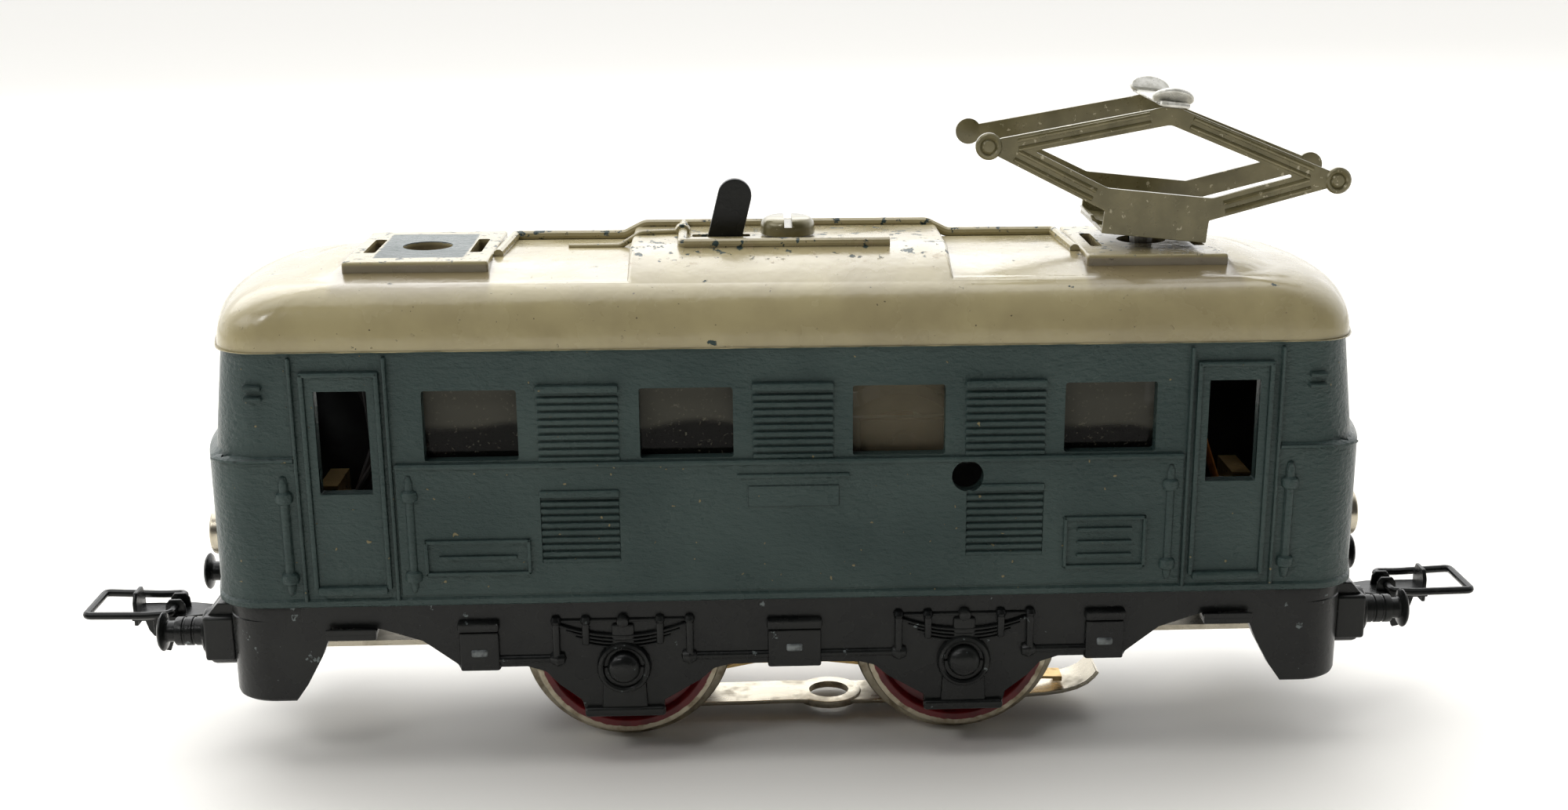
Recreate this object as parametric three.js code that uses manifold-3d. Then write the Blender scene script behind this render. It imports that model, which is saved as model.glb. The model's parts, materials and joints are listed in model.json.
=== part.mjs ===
// A toy electric locomotive for 16.5 mm gauge: a die-cast shell screwed to a die-cast underframe,
// two driven axles geared to a motor, a pickup shoe, two hook-and-bail couplers and one pantograph.
// Millimetres. +Z is up, +X points to the rear end, -Y is the near side. The origin lies on the
// ground under the centre, at the bottom of the wheel flanges.
import * as THREE from "three";
import { mergeVertices } from "three/addons/utils/BufferGeometryUtils.js";
import Module from "manifold-3d";

const wasm = await Module();
wasm.setup();

// ---------------------------------------------------------------- driving dimensions
const WHEEL_BACK = 7.0; // from the centre line to the back of each wheel
const FLANGE_RADIUS = 11.0;
const TREAD_RADIUS = 9.9;
const AXLE_X = 17.4;
const AXLE_Z = FLANGE_RADIUS;
const AXLE_RADIUS = 1.25;

const SHELL_HALF_LENGTH = 59.7;
const SHELL_HALF_WIDTH = 15.5;
const SHELL_BOTTOM = 17.7;
const WALL = 1.4;
const BELT_Z = 33.4;
const GUTTER_Z = 44.2;
const ROOF_EDGE_Z = 50.2; // where the round of the roof ends
const DECK_Z = 51.3;
const RAISED_DECK_Z = 52.5;
const PAD_TOP = 51.7;
const PAD_X = 37.1;
const PAD_HALF_LENGTH = 7.2;
const PAD_HALF_WIDTH = 8.76;

const FLOOR_TOP = 17.4;
const FLOOR_BOTTOM = 16.4;
const FRAME_Y = 15.0; // outer face of the cast side frames
const FRAME_INNER_Y = 13.6;
const BEAM_X = 60.4;
const BUFFER_X = 65.5;
const BUFFER_Y = 9.14;
const BUFFER_Z = 13.3;
const HEADLAMP_Y = 8.3;
const HEADLAMP_Z = 24.0;

const COUPLER_PIVOT_X = 52.0;
const COUPLER_Z = 12.0;
const BAIL_PIVOT_X = 66.2;
const BAIL_PIVOT_Z = COUPLER_Z + 0.9;

const GEAR_MODULE = 0.5;
const AXLE_TEETH = 24;
const IDLER_TEETH = 52;
const PINION_TEETH = 9;
const GEAR_Y = [4.8, 6.4];
const ARMATURE_ANGLE = THREE.MathUtils.degToRad(40); // of the motor shaft above the idler, from +X

const PANTOGRAPH_Y = 6.07;
const SHEET = 0.5;
const LEVER_PIVOT = [-8.1, 46.0];
const LEVER_LEAN = THREE.MathUtils.degToRad(14);

const GAP = 0.3; // between pieces that touch on the real one
const FIT = 0.15; // round a shaft that is pressed in
const RUNNING = 0.08; // round a shaft that turns

const ENDS = { front: -1, rear: 1 };
const SIDES = { near: -1, far: 1 };

// ---------------------------------------------------------------- materials
const finish = (color, roughness, metalness) =>
  new THREE.MeshStandardMaterial({ color, roughness, metalness });
const paintedShell = finish(0x3f525a, 0.45, 0.0);
const blackCasting = finish(0x17181a, 0.5, 0.1);
const blackSheet = finish(0x111112, 0.5, 0.2);
const oliveSheet = finish(0x8c8468, 0.45, 0.3);
const nickel = finish(0xc9c4b4, 0.3, 1.0);
const steel = finish(0x9a9a98, 0.35, 1.0);
const brass = finish(0xb08a45, 0.35, 1.0);
const copper = finish(0x9c5a34, 0.5, 0.6);
const redWheel = finish(0x7c1216, 0.5, 0.2);
const clearSheet = new THREE.MeshStandardMaterial({
  color: 0xc8c4b0,
  roughness: 0.2,
  transparent: true,
  opacity: 0.5,
});
const lensGlass = new THREE.MeshStandardMaterial({
  color: 0xe8e6dc,
  roughness: 0.05,
  transparent: true,
  opacity: 0.5,
});
const board = finish(0x5a3a20, 0.6, 0.0);
const wireCover = finish(0xc8641e, 0.5, 0.0);

// ---------------------------------------------------------------- shapes and solids
const vertexWeld = 1e-4;

// A closed geometry as a solid whose faces point out.
function solid(geometry) {
  const bare = geometry.clone();
  bare.deleteAttribute("normal");
  bare.deleteAttribute("uv");
  const welded = mergeVertices(bare, vertexWeld);
  const corners = welded.index.array;
  const kept = [];
  for (let i = 0; i < corners.length; i += 3) {
    const [a, b, c] = corners.subarray(i, i + 3);
    if (a !== b && b !== c && c !== a) kept.push(a, b, c);
  }
  const build = (triangles) =>
    new wasm.Manifold(
      new wasm.Mesh({
        numProp: 3,
        vertProperties: new Float32Array(welded.attributes.position.array),
        triVerts: new Uint32Array(triangles),
      }),
    );
  const made = build(kept);
  return made.volume() > 0 ? made : build(kept.reverse());
}

const join = (...solids) => solids.flat().reduce((a, b) => a.add(b));
const cut = (body, ...tools) => tools.flat().reduce((a, b) => a.subtract(b), body);

function geometryOf(made) {
  const mesh = made.getMesh();
  const geometry = new THREE.BufferGeometry();
  geometry.setAttribute("position", new THREE.BufferAttribute(mesh.vertProperties, 3));
  geometry.setIndex(new THREE.BufferAttribute(mesh.triVerts, 1));
  const flat = geometry.toNonIndexed();
  flat.computeVertexNormals();
  return flat;
}

const box = (x0, x1, y0, y1, z0, z1) =>
  solid(
    new THREE.BoxGeometry(x1 - x0, y1 - y0, z1 - z0).translate(
      (x0 + x1) / 2,
      (y0 + y1) / 2,
      (z0 + z1) / 2,
    ),
  );

// A box that keeps to one end (s = -1 or 1): a and b are distances from the centre along X.
const endBox = (s, a, b, y0, y1, z0, z1) =>
  box(Math.min(s * a, s * b), Math.max(s * a, s * b), y0, y1, z0, z1);

const outlineShape = (points) =>
  points instanceof THREE.Shape
    ? points
    : new THREE.Shape(points.map(([a, b]) => new THREE.Vector2(a, b)));

const extrude = (outline, depth, curveSegments = 5) =>
  new THREE.ExtrudeGeometry(outlineShape(outline), {
    depth,
    bevelEnabled: false,
    curveSegments,
  });

// Prisms: the outline is drawn in (x, z), (y, z) or (x, y) and runs along the axis left out.
const prismY = (outline, y0, y1) =>
  solid(extrude(outline, y1 - y0).rotateX(Math.PI / 2).translate(0, y1, 0));
const yzToWorld = new THREE.Matrix4().makeBasis(
  new THREE.Vector3(0, 1, 0),
  new THREE.Vector3(0, 0, 1),
  new THREE.Vector3(1, 0, 0),
);
const prismX = (outline, x0, x1) =>
  solid(extrude(outline, x1 - x0).applyMatrix4(yzToWorld).translate(x0, 0, 0));
const prismZ = (outline, z0, z1) => solid(extrude(outline, z1 - z0).translate(0, 0, z0));

function rod(from, to, radius, sides = 12) {
  const a = new THREE.Vector3(...from);
  const b = new THREE.Vector3(...to);
  const along = b.clone().sub(a);
  const turn = new THREE.Quaternion().setFromUnitVectors(
    new THREE.Vector3(0, 1, 0),
    along.clone().normalize(),
  );
  const middle = a.clone().add(b).multiplyScalar(0.5);
  return solid(
    new THREE.CylinderGeometry(radius, radius, along.length(), sides)
      .applyQuaternion(turn)
      .translate(middle.x, middle.y, middle.z),
  );
}

// A turned piece. The profile is a list of [radius, distance along the axis].
const turned = (profile, sides) =>
  solid(new THREE.LatheGeometry(profile.map(([r, h]) => new THREE.Vector2(r, h)), sides));
const turnedX = (profile, sides, s) =>
  solid(
    new THREE.LatheGeometry(profile.map(([r, h]) => new THREE.Vector2(r, h)), sides).rotateZ(
      (-s * Math.PI) / 2,
    ),
  );
const turnedZ = (profile, sides) =>
  solid(
    new THREE.LatheGeometry(profile.map(([r, h]) => new THREE.Vector2(r, h)), sides).rotateX(
      Math.PI / 2,
    ),
  );

// A round wire that follows a smooth open path.
function wire(points, radius, steps, tension = 0.4, sides = 6) {
  const path = new THREE.CatmullRomCurve3(
    points.map((p) => new THREE.Vector3(...p)),
    false,
    "catmullrom",
    tension,
  );
  const section = new THREE.Shape();
  for (let i = 0; i < sides; i++) {
    const a = (2 * Math.PI * i) / sides;
    section[i ? "lineTo" : "moveTo"](radius * Math.cos(a), radius * Math.sin(a));
  }
  return solid(new THREE.ExtrudeGeometry(section, { extrudePath: path, steps }));
}

const circle = (x, z, radius) => new THREE.Shape().absarc(x, z, radius, 0, 2 * Math.PI);
const mirrored = (points) => points.map(([x, z]) => [-x, z]).reverse();

// ---------------------------------------------------------------- the shell's plan and its lofts
const BOW_ANGLE = THREE.MathUtils.degToRad(16); // of the end wall where it meets the corner
const BOW_STEPS = 2;
const CORNER_STEPS = 4;

// The plan at one height: a long rectangle with round corners and bowed ends.
function plan(halfLength, halfWidth, radius) {
  const cornerY = halfWidth - radius;
  const bowEnd = cornerY + radius * Math.sin(BOW_ANGLE);
  const bow = (bowEnd * Math.tan(BOW_ANGLE)) / 2;
  const cornerX = halfLength - bow - radius * Math.cos(BOW_ANGLE);
  const quarter = [];
  for (let i = 0; i < BOW_STEPS; i++) {
    const y = (bowEnd * i) / BOW_STEPS;
    quarter.push([halfLength - bow * (y / bowEnd) ** 2, y]);
  }
  for (let i = 0; i <= CORNER_STEPS; i++) {
    const a = BOW_ANGLE + ((Math.PI / 2 - BOW_ANGLE) * i) / CORNER_STEPS;
    quarter.push([cornerX + radius * Math.cos(a), cornerY + radius * Math.sin(a)]);
  }
  const half = [...quarter, ...quarter.map(([x, y]) => [-x, y]).reverse()].slice(0, -1);
  return [...half, ...half.map(([x, y]) => [-x, -y])];
}

// Skins a stack of plans with the same number of points, and closes both ends.
function loft(levels) {
  const count = levels[0].outline.length;
  const top = (levels.length - 1) * count;
  const index = [];
  for (let start = 0; start < top; start += count)
    for (let i = 0; i < count; i++) {
      const a = start + i;
      const b = start + ((i + 1) % count);
      index.push(a, b, b + count, a, b + count, a + count);
    }
  const cap = THREE.ShapeUtils.triangulateShape(
    levels[0].outline.map(([x, y]) => new THREE.Vector2(x, y)),
    [],
  );
  cap.forEach(([a, b, c]) => index.push(c, b, a, top + a, top + b, top + c));
  const positions = levels.flatMap(({ z, outline }) => outline.flatMap(([x, y]) => [x, y, z]));
  const geometry = new THREE.BufferGeometry();
  geometry.setAttribute("position", new THREE.Float32BufferAttribute(positions, 3));
  geometry.setIndex(index);
  return solid(geometry);
}

// The outside of the shell, or its inside when inset is the wall thickness.
function shellLevels(inset) {
  const level = (z, halfLength, halfWidth, radius) => ({
    z,
    outline: plan(halfLength - inset, halfWidth - inset, radius - 0.6 * inset),
  });
  const walls = [
    [SHELL_BOTTOM - 2 * inset, -0.4, -0.15],
    [SHELL_BOTTOM + 0.6, 0.1, 0],
    [BELT_Z - 0.2, -0.1, 0],
    [BELT_Z + 0.6, -0.9, -0.05],
    [GUTTER_Z - 0.5, -2.1, -0.15],
    [GUTTER_Z - 0.2, -1.7, 0.1],
  ].map(([z, dl, dw]) => level(z, SHELL_HALF_LENGTH + dl, SHELL_HALF_WIDTH + dw, 5));
  const roofSteps = 4;
  const roof = [];
  for (let i = 0; i <= roofSteps; i++) {
    const a = (i / roofSteps) * (Math.PI / 2) * 0.96;
    const pull = 1 - Math.cos(a);
    roof.push(
      level(
        GUTTER_Z + (ROOF_EDGE_Z - GUTTER_Z - inset) * Math.sin(a),
        SHELL_HALF_LENGTH - 1.8 - 9 * pull,
        SHELL_HALF_WIDTH + 0.1 - 5.4 * pull,
        5.4 + 1.6 * pull,
      ),
    );
  }
  const deck = level(DECK_Z - inset, SHELL_HALF_LENGTH - 13.2, 5.2 + inset, 3.5 + inset);
  return [...walls, ...roof, deck];
}

// ---------------------------------------------------------------- body shell
const SIDE_WINDOWS = [-31.6, -10.5, 10.5, 31.6];
const SIDE_WINDOW_HALF = 4.6;
const SIDE_WINDOW_Z = [33.1, 40.2];
const BELT_BEAD_X = 50.0; // the bead runs round each end beyond this
const DOOR_FRAME_X = [39.4, 48.7];
const DOOR_FRAME_Z = [18.3, 43.4];
const DOOR_LIGHT_X = [41.4, 46.5];
const DOOR_LIGHT_Z = [29.85, 40.3];
const END_WINDOW_Y = [1.2, 9.4];
const END_WINDOW_Z = [35.8, 42.6];
const LOUVRE_X = 21.1;
const LOUVRE_RIBS = 9;
const UPPER_LOUVRE_Z = [32.9, 40.5];
const LOWER_LOUVRE_Z = [22.2, 29.9];
const HANDRAIL_X = [37.9, 50.0];
const HANDRAIL_Z = [19.7, 31.4];
const KEY_HOLE = { x: 17.4, z: 30.8, radius: 1.6 };

// A louvred panel: a hood above a saw-tooth field, drawn in (distance out of the wall, z).
function louvres(side, x, [z0, z1]) {
  const wall = SHELL_HALF_WIDTH;
  const halfWidth = 4.05;
  const pitch = (z1 - z0 - 0.9) / LOUVRE_RIBS;
  const teeth = [];
  for (let i = 0; i < LOUVRE_RIBS; i++) {
    const z = z0 + i * pitch;
    teeth.push([wall + 0.05, z], [wall + 0.3, z + 0.6 * pitch]);
  }
  const hood = [
    [wall + 0.05, z1 - 0.9],
    [wall + 0.4, z1 - 0.6],
    [wall + 0.4, z1 - 0.2],
    [wall - 0.4, z1],
    [wall - 0.4, z0],
  ];
  const profile = [...teeth, ...hood].map(([y, z]) => [side * y, z]);
  return prismX(profile, x - halfWidth, x + halfWidth);
}

function doorRelief(side, s) {
  const y = side * SHELL_HALF_WIDTH;
  const [y0, y1] = [y - 0.25, y + 0.25];
  const bar = (a, b, z0, z1) => endBox(s, a, b, y0, y1, z0, z1);
  const [a, b] = DOOR_FRAME_X;
  const [low, high] = DOOR_FRAME_Z;
  return [
    bar(a, a + 0.5, low, high),
    bar(b - 0.5, b, low, high),
    bar(a, b, high - 1.4, high - 0.9),
    bar(a + 0.8, b - 0.8, low + 0.9, low + 1.7),
  ];
}

function handrail(side, x) {
  const y = side * (SHELL_HALF_WIDTH + 0.05);
  const collar = (z) => rod([x, y, z - 0.4], [x, y, z + 0.4], 0.75, 6);
  const [low, high] = HANDRAIL_Z;
  return [rod([x, y, low], [x, y, high], 0.5, 6), collar(low + 1.6), collar(high - 2.0)];
}

function sideRelief(side) {
  const y = side * SHELL_HALF_WIDTH;
  const [y0, y1] = [y - 0.2, y + 0.2];
  return [
    box(-39.4, 39.4, y0, y1, 32.2, 32.8),
    ...[-LOUVRE_X, 0, LOUVRE_X].map((x) => louvres(side, x, UPPER_LOUVRE_Z)),
    ...[-LOUVRE_X, LOUVRE_X].map((x) => louvres(side, x, LOWER_LOUVRE_Z)),
    box(-36.6, -26.4, y0, y1, 21.4, 24.9),
    box(-5.4, 5.4, y0, y1, 27.1, 31.2),
    box(27.3, 35.5, y0, y1, 21.0, 26.4),
    ...Object.values(ENDS).flatMap((s) => [
      ...doorRelief(side, s),
      ...HANDRAIL_X.flatMap((x) => handrail(side, s * x)),
    ]),
  ];
}

function roofRelief() {
  const raised = [
    [-12.9, 48.6],
    [12.9, 48.6],
    [12.9, 49.4],
    [11.5, 50.5],
    [5.6, RAISED_DECK_Z],
    [-5.6, RAISED_DECK_Z],
    [-11.5, 50.5],
    [-12.9, 49.4],
  ];
  const pad = (x) =>
    box(
      x - PAD_HALF_LENGTH,
      x + PAD_HALF_LENGTH,
      -PAD_HALF_WIDTH,
      PAD_HALF_WIDTH,
      ROOF_EDGE_Z - 1.2,
      PAD_TOP,
    );
  const low = DECK_Z + 0.25;
  const high = RAISED_DECK_Z + 0.15;
  const longPipe = [
    [-29.3, -4.0, low],
    [-29.0, 6.2, low],
    [-16.8, 6.2, low],
    [-15.0, 6.2, high],
    [15.0, 6.2, high],
    [16.8, 6.2, low],
    [29.0, 6.2, low],
    [29.3, -4.0, low],
  ];
  const pipe = (points, radius) =>
    points.slice(1).map((end, i) => rod(points[i], end, radius, 6));
  return [
    prismX(raised, -16.0, 16.0),
    pad(-PAD_X),
    pad(PAD_X),
    ...pipe(longPipe, 0.5),
    ...pipe([[-10.8, 6.2, high], [-10.8, -5.6, high], [10.0, -5.6, high]], 0.5),
    rod([-22.7, 0.5, DECK_Z + 0.05], [-15.4, 0.5, DECK_Z + 0.05], 0.3, 6),
  ];
}

function roofOpenings() {
  const padCuts = Object.values(ENDS).flatMap((s) => [
    rod([s * PAD_X, 0, 46], [s * PAD_X, 0, 53], 2.55, 20),
    ...[-5.35, 5.35].map((dx) =>
      box(s * PAD_X + dx - 0.6, s * PAD_X + dx + 0.6, -3.8, 3.8, 46, 53),
    ),
  ]);
  return [
    ...padCuts,
    box(-9.9, -3.9, -0.8, 0.8, 46, 54),
    rod([0, 0, 46], [0, 0, 54], 1.3, 12),
  ];
}

function wallOpenings() {
  const through = SHELL_HALF_WIDTH + 2;
  const [z0, z1] = SIDE_WINDOW_Z;
  const sideWindows = SIDE_WINDOWS.map((x) =>
    box(x - SIDE_WINDOW_HALF, x + SIDE_WINDOW_HALF, -through, through, z0, z1),
  );
  const ends = Object.values(ENDS).flatMap((s) => [
    endBox(s, ...DOOR_LIGHT_X, -through, through, ...DOOR_LIGHT_Z),
    ...Object.values(SIDES).flatMap((side) => [
      endBox(s, 54, 62, ...END_WINDOW_Y.map((y) => side * y).sort((a, b) => a - b), ...END_WINDOW_Z),
      rod(
        [s * 54, side * HEADLAMP_Y, HEADLAMP_Z],
        [s * 62, side * HEADLAMP_Y, HEADLAMP_Z],
        2.6,
        16,
      ),
    ]),
  ]);
  const { x, z, radius } = KEY_HOLE;
  const keyHole = rod([x, -through, z], [x, 0, z], radius, 14);
  return [...sideWindows, ...ends, keyHole];
}

function bodyShell() {
  const beltBand = cut(
    prismZ(plan(SHELL_HALF_LENGTH + 0.5, SHELL_HALF_WIDTH + 0.35, 5.3), BELT_Z - 0.3, BELT_Z + 0.4),
    box(-BELT_BEAD_X, BELT_BEAD_X, -20, 20, 30, 36),
  );
  const outside = join(
    loft(shellLevels(0)),
    beltBand,
    roofRelief(),
    Object.values(SIDES).flatMap(sideRelief),
  );
  return cut(outside, loft(shellLevels(WALL)), wallOpenings(), roofOpenings());
}

// ---------------------------------------------------------------- underframe casting
// Half of the side frame's lower edge, from the middle outwards, in (x, z).
const SIDE_FRAME_EDGE = [
  [0, 10.5],
  [2.72, 10.5],
  [2.72, 10.9],
  [6.7, 10.8],
  [8.25, 10.4],
  [9.6, 9.2],
  [13.4, 7.0],
  [13.4, 5.5],
  [21.4, 5.5],
  [21.8, 7.2],
  [24.0, 8.9],
  [25.35, 10.4],
  [27.2, 11.0],
  [29.9, 11.0],
  [29.9, 10.75],
  [33.9, 10.75],
  [34.2, 11.4],
  [37.6, 14.0],
  [41.8, 15.4],
  [49.5, 15.8],
];

// Cast springs, axle box and hangers of one axle, on one side.
function axleBoxRelief(side, x) {
  const y = side * FRAME_Y;
  const out = (x0, x1, proud, z0, z1) =>
    side < 0
      ? box(x + x0, x + x1, y - proud, y + 0.3, z0, z1)
      : box(x + x0, x + x1, y - 0.3, y + proud, z0, z1);
  const leaves = [0, 1, 2].map((i) => {
    const half = 6.6 - 1.3 * i;
    return out(-half, half, 0.45, 14.9 - 0.55 * i, 15.4 - 0.55 * i);
  });
  const posts = [-7.0, -4.15, 4.15, 7.0].map((dx) => out(dx - 0.4, dx + 0.4, 0.7, 12.7, 16.2));
  const disc = (proud, radius) =>
    rod([x, y - side * 0.3, AXLE_Z + 0.1], [x, y + side * proud, AXLE_Z + 0.1], radius, 12);
  const horn = out(-2.2, 2.2, 0.5, 7.0, AXLE_Z);
  const keep = out(-4.0, 4.0, 0.6, 5.5, 7.0);
  return [...leaves, ...posts, horn, keep, disc(0.8, 2.75), disc(1.4, 1.9)];
}

function sideFrame(side) {
  const edge = [...mirrored(SIDE_FRAME_EDGE.slice(1)), ...SIDE_FRAME_EDGE];
  const outline = [...edge, [49.5, FLOOR_TOP], [-49.5, FLOOR_TOP]];
  const [y0, y1] = side < 0 ? [-FRAME_Y, -FRAME_INNER_Y] : [FRAME_INNER_Y, FRAME_Y];
  const proud = (x0, x1, z0, z1, depth) =>
    side < 0
      ? box(x0, x1, -FRAME_Y - depth, -FRAME_Y + 0.3, z0, z1)
      : box(x0, x1, FRAME_Y - 0.3, FRAME_Y + depth, z0, z1);
  const rodY = side * FRAME_Y;
  const brakeRod = (a, b) => rod([a, rodY, 11.9], [b, rodY, 11.9], 0.6, 8);
  return [
    prismY(outline, y0, y1),
    proud(-2.72, 2.72, 10.5, 15.9, 0.6),
    ...Object.values(ENDS).flatMap((s) => [
      proud(Math.min(s * 29.9, s * 33.9), Math.max(s * 29.9, s * 33.9), 10.75, 16.2, 0.6),
      proud(Math.min(s * 42, s * 47), Math.max(s * 42, s * 47), 14.7, 15.6, 1.2),
      brakeRod(s * 2.5, s * 11.6),
      brakeRod(s * 23.2, s * 30.2),
      ...axleBoxRelief(side, s * AXLE_X),
    ]),
  ];
}

// The skirt round one end, with the buffer beam in front of it.
function endCasting(s) {
  const skirtBottom = 7.5;
  const ring = cut(
    prismZ(plan(58.9, FRAME_Y, 4.2), skirtBottom, FLOOR_BOTTOM + 0.2),
    prismZ(plan(57.5, FRAME_INNER_Y, 3.4), skirtBottom - 1, FLOOR_BOTTOM),
    endBox(-s, -47, 80, -20, 20, 0, 20),
    endBox(s, 50, 80, -5.6, 5.6, 0, 14.6),
    prismY(
      [[46, 16.3], [47, 14.3], [47.8, 12.4], [49.4, 9.5], [50.9, 7.4], [45, 7.0]].map(([x, z]) => [s * x, z]),
      -20,
      20,
    ),
  );
  const beam = cut(
    join(
      endBox(s, 56.5, BEAM_X, -11.75, 11.75, 10.9, 15.7),
      prismY(
        [[56.5, 15.6], [BEAM_X, 15.6], [58.9, 17.0], [56.5, 17.0]].map(([x, z]) => [s * x, z]),
        -11.0,
        11.0,
      ),
      ...Object.values(SIDES).map((side) =>
        rod([s * 57.8, side * 8, 11.0], [s * 60.6, side * 8, 11.0], 1.7, 12),
      ),
    ),
    endBox(s, 50, 70, -5.6, 5.6, 0, 14.2),
    ...Object.values(SIDES).map((side) =>
      rod([s * 59.2, side * BUFFER_Y, BUFFER_Z], [s * 70, side * BUFFER_Y, BUFFER_Z], 1.0, 12),
    ),
  );
  return [ring, beam];
}

function chassisFrame() {
  const floor = cut(
    prismZ(plan(58.9, FRAME_Y, 4.6), FLOOR_BOTTOM, FLOOR_TOP),
    box(-29.5, 29.5, -10.4, 10.4, 10, 20),
  );
  return join(
    floor,
    Object.values(SIDES).flatMap(sideFrame),
    Object.values(ENDS).flatMap(endCasting),
  );
}

// ---------------------------------------------------------------- turned and glazed fittings
// A buffer with its face at x = 0 and its spigot behind it.
const buffer = (s) =>
  turnedX(
    [
      [0, 0],
      [1.75, 0],
      [2.05, -0.25],
      [2.05, -0.5],
      [1.13, -0.8],
      [1.13, -1.7],
      [1.5, -1.75],
      [1.5, -4.75],
      [0.85, -4.75],
      [0.85, -6.0],
      [0, -6.0],
    ],
    12,
    s,
  );

const headlampRing = (s) =>
  turnedX(
    [
      [1.95, -3.6],
      [2.45, -3.6],
      [2.45, -0.1],
      [2.25, 0.1],
      [1.95, 0.1],
      [1.95, -3.6],
    ],
    14,
    s,
  );

const headlampLens = (s) =>
  turnedX([[0, -3.4], [1.75, -3.4], [1.75, -0.4], [1.2, -0.1], [0, 0]], 14, s);

const lampSocket = (s) =>
  cut(
    join(endBox(s, -1.0, 1.0, -3.2, 3.2, -5.8, 3.4), endBox(s, -3.6, 1.0, -3.2, 3.2, -5.8, -4.8)),
    rod([-5, 0, 0], [5, 0, 0], 2.05, 14),
  );

const lampBulb = (s) =>
  turnedX(
    [[0, -2.6], [1.3, -2.6], [1.9, -2.0], [1.9, 1.8], [2.15, 2.6], [2.15, 5.0], [1.5, 6.4], [0, 6.9]],
    14,
    s,
  );

// ---------------------------------------------------------------- motor and gears
// A spur gear's outline round its centre in (x, z), with one tooth along the angle phase.
function gearShape(teeth, phase) {
  const pitchRadius = (GEAR_MODULE * teeth) / 2;
  const tip = pitchRadius + 0.75 * GEAR_MODULE;
  const root = pitchRadius - 1.05 * GEAR_MODULE;
  const step = (2 * Math.PI) / teeth;
  const corners = [
    [-0.34, root],
    [-0.12, tip],
    [0.12, tip],
    [0.34, root],
  ];
  const shape = [];
  for (let i = 0; i < teeth; i++)
    for (const [share, radius] of corners) {
      const a = phase + (i + share) * step;
      shape.push([radius * Math.cos(a), radius * Math.sin(a)]);
    }
  return shape;
}

// The phase that puts a gear in mesh with another whose centre lies at the angle line from it.
function meshPhase(otherTeeth, otherPhase, line, teeth) {
  const otherStep = (2 * Math.PI) / otherTeeth;
  const share = (line - otherPhase) / otherStep;
  return line + Math.PI + ((2 * Math.PI) / teeth) * (share - 0.5);
}

const pitch = (teeth) => (GEAR_MODULE * teeth) / 2;
const idlerRise = Math.sqrt((pitch(IDLER_TEETH) + pitch(AXLE_TEETH)) ** 2 - AXLE_X ** 2);
const IDLER_Z = AXLE_Z + idlerRise;
const armatureReach = pitch(IDLER_TEETH) + pitch(PINION_TEETH);
const ARMATURE_X = armatureReach * Math.cos(ARMATURE_ANGLE);
const ARMATURE_Z = IDLER_Z + armatureReach * Math.sin(ARMATURE_ANGLE);

const gear = (teeth, phase, bore) =>
  cut(prismY(gearShape(teeth, phase), ...GEAR_Y), rod([0, 0, 0], [0, 10, 0], bore, 14));

// The two side plates of the motor, with their feet on the floor of the underframe.
function motorPlate(y0, y1) {
  const outline = [
    [-22.5, 8.2],
    [22.5, 8.2],
    [22.5, 14.0],
    [29.0, 16.0],
    [29.0, FLOOR_TOP + GAP],
    [31.8, FLOOR_TOP + GAP],
    [31.8, 20.0],
    [24, 20.0],
    [21, 34.4],
    [-15, 34.4],
    [-24, 20.0],
    [-31.8, 20.0],
    [-31.8, FLOOR_TOP + GAP],
    [-29.0, FLOOR_TOP + GAP],
    [-29.0, 16.0],
    [-22.5, 14.0],
  ];
  const hole = (x, z, r) => rod([x, y0 - 1, z], [x, y1 + 1, z], r, 14);
  return cut(
    prismY(outline, y0, y1),
    hole(-AXLE_X, AXLE_Z, AXLE_RADIUS + RUNNING),
    hole(AXLE_X, AXLE_Z, AXLE_RADIUS + RUNNING),
    hole(0, IDLER_Z, 1.2 + FIT),
    hole(ARMATURE_X, ARMATURE_Z, 0.9 + RUNNING),
  );
}

const MAGNET_Y = [-2.9, 2.9];
function fieldMagnet() {
  const bars = [
    box(-13, ARMATURE_X, ...MAGNET_Y, ARMATURE_Z + 4.0, ARMATURE_Z + 6.2),
    box(-13, ARMATURE_X, ...MAGNET_Y, ARMATURE_Z - 6.2, ARMATURE_Z - 4.0),
    box(-13, -10, ...MAGNET_Y, ARMATURE_Z - 6.2, ARMATURE_Z + 6.2),
    rod([ARMATURE_X, MAGNET_Y[0], ARMATURE_Z], [ARMATURE_X, MAGNET_Y[1], ARMATURE_Z], 7.6, 24),
  ];
  return cut(
    join(bars),
    rod([ARMATURE_X, -9, ARMATURE_Z], [ARMATURE_X, 9, ARMATURE_Z], 5.8, 24),
    box(ARMATURE_X - 9, ARMATURE_X - 3, -9, 9, ARMATURE_Z - 2, ARMATURE_Z + 2),
  );
}

const fieldCoil = () =>
  cut(
    box(-15, -8, -4.9, 3.1, ARMATURE_Z - 3.7, ARMATURE_Z + 3.7),
    box(-13 - GAP, -10 + GAP, MAGNET_Y[0] - GAP, MAGNET_Y[1] - 0.1 + GAP, 0, 60),
    box(-13 - GAP, -10 + GAP, 0, 3.2, 0, 60),
  );

// Three wound poles on a shaft, centred on the shaft.
function armature() {
  const poles = [0, 1, 2].map((i) => {
    const a = (i * 2 * Math.PI) / 3;
    const sector = new THREE.Shape().absarc(0, 0, 5.4, a - 0.8, a + 0.8).lineTo(0, 0);
    return prismY(sector, -2.9, 2.9);
  });
  return join(poles, rod([0, -2.9, 0], [0, 2.9, 0], 3.6, 12), rod([0, -7.1, 0], [0, 6.7, 0], 0.9, 14));
}

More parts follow.
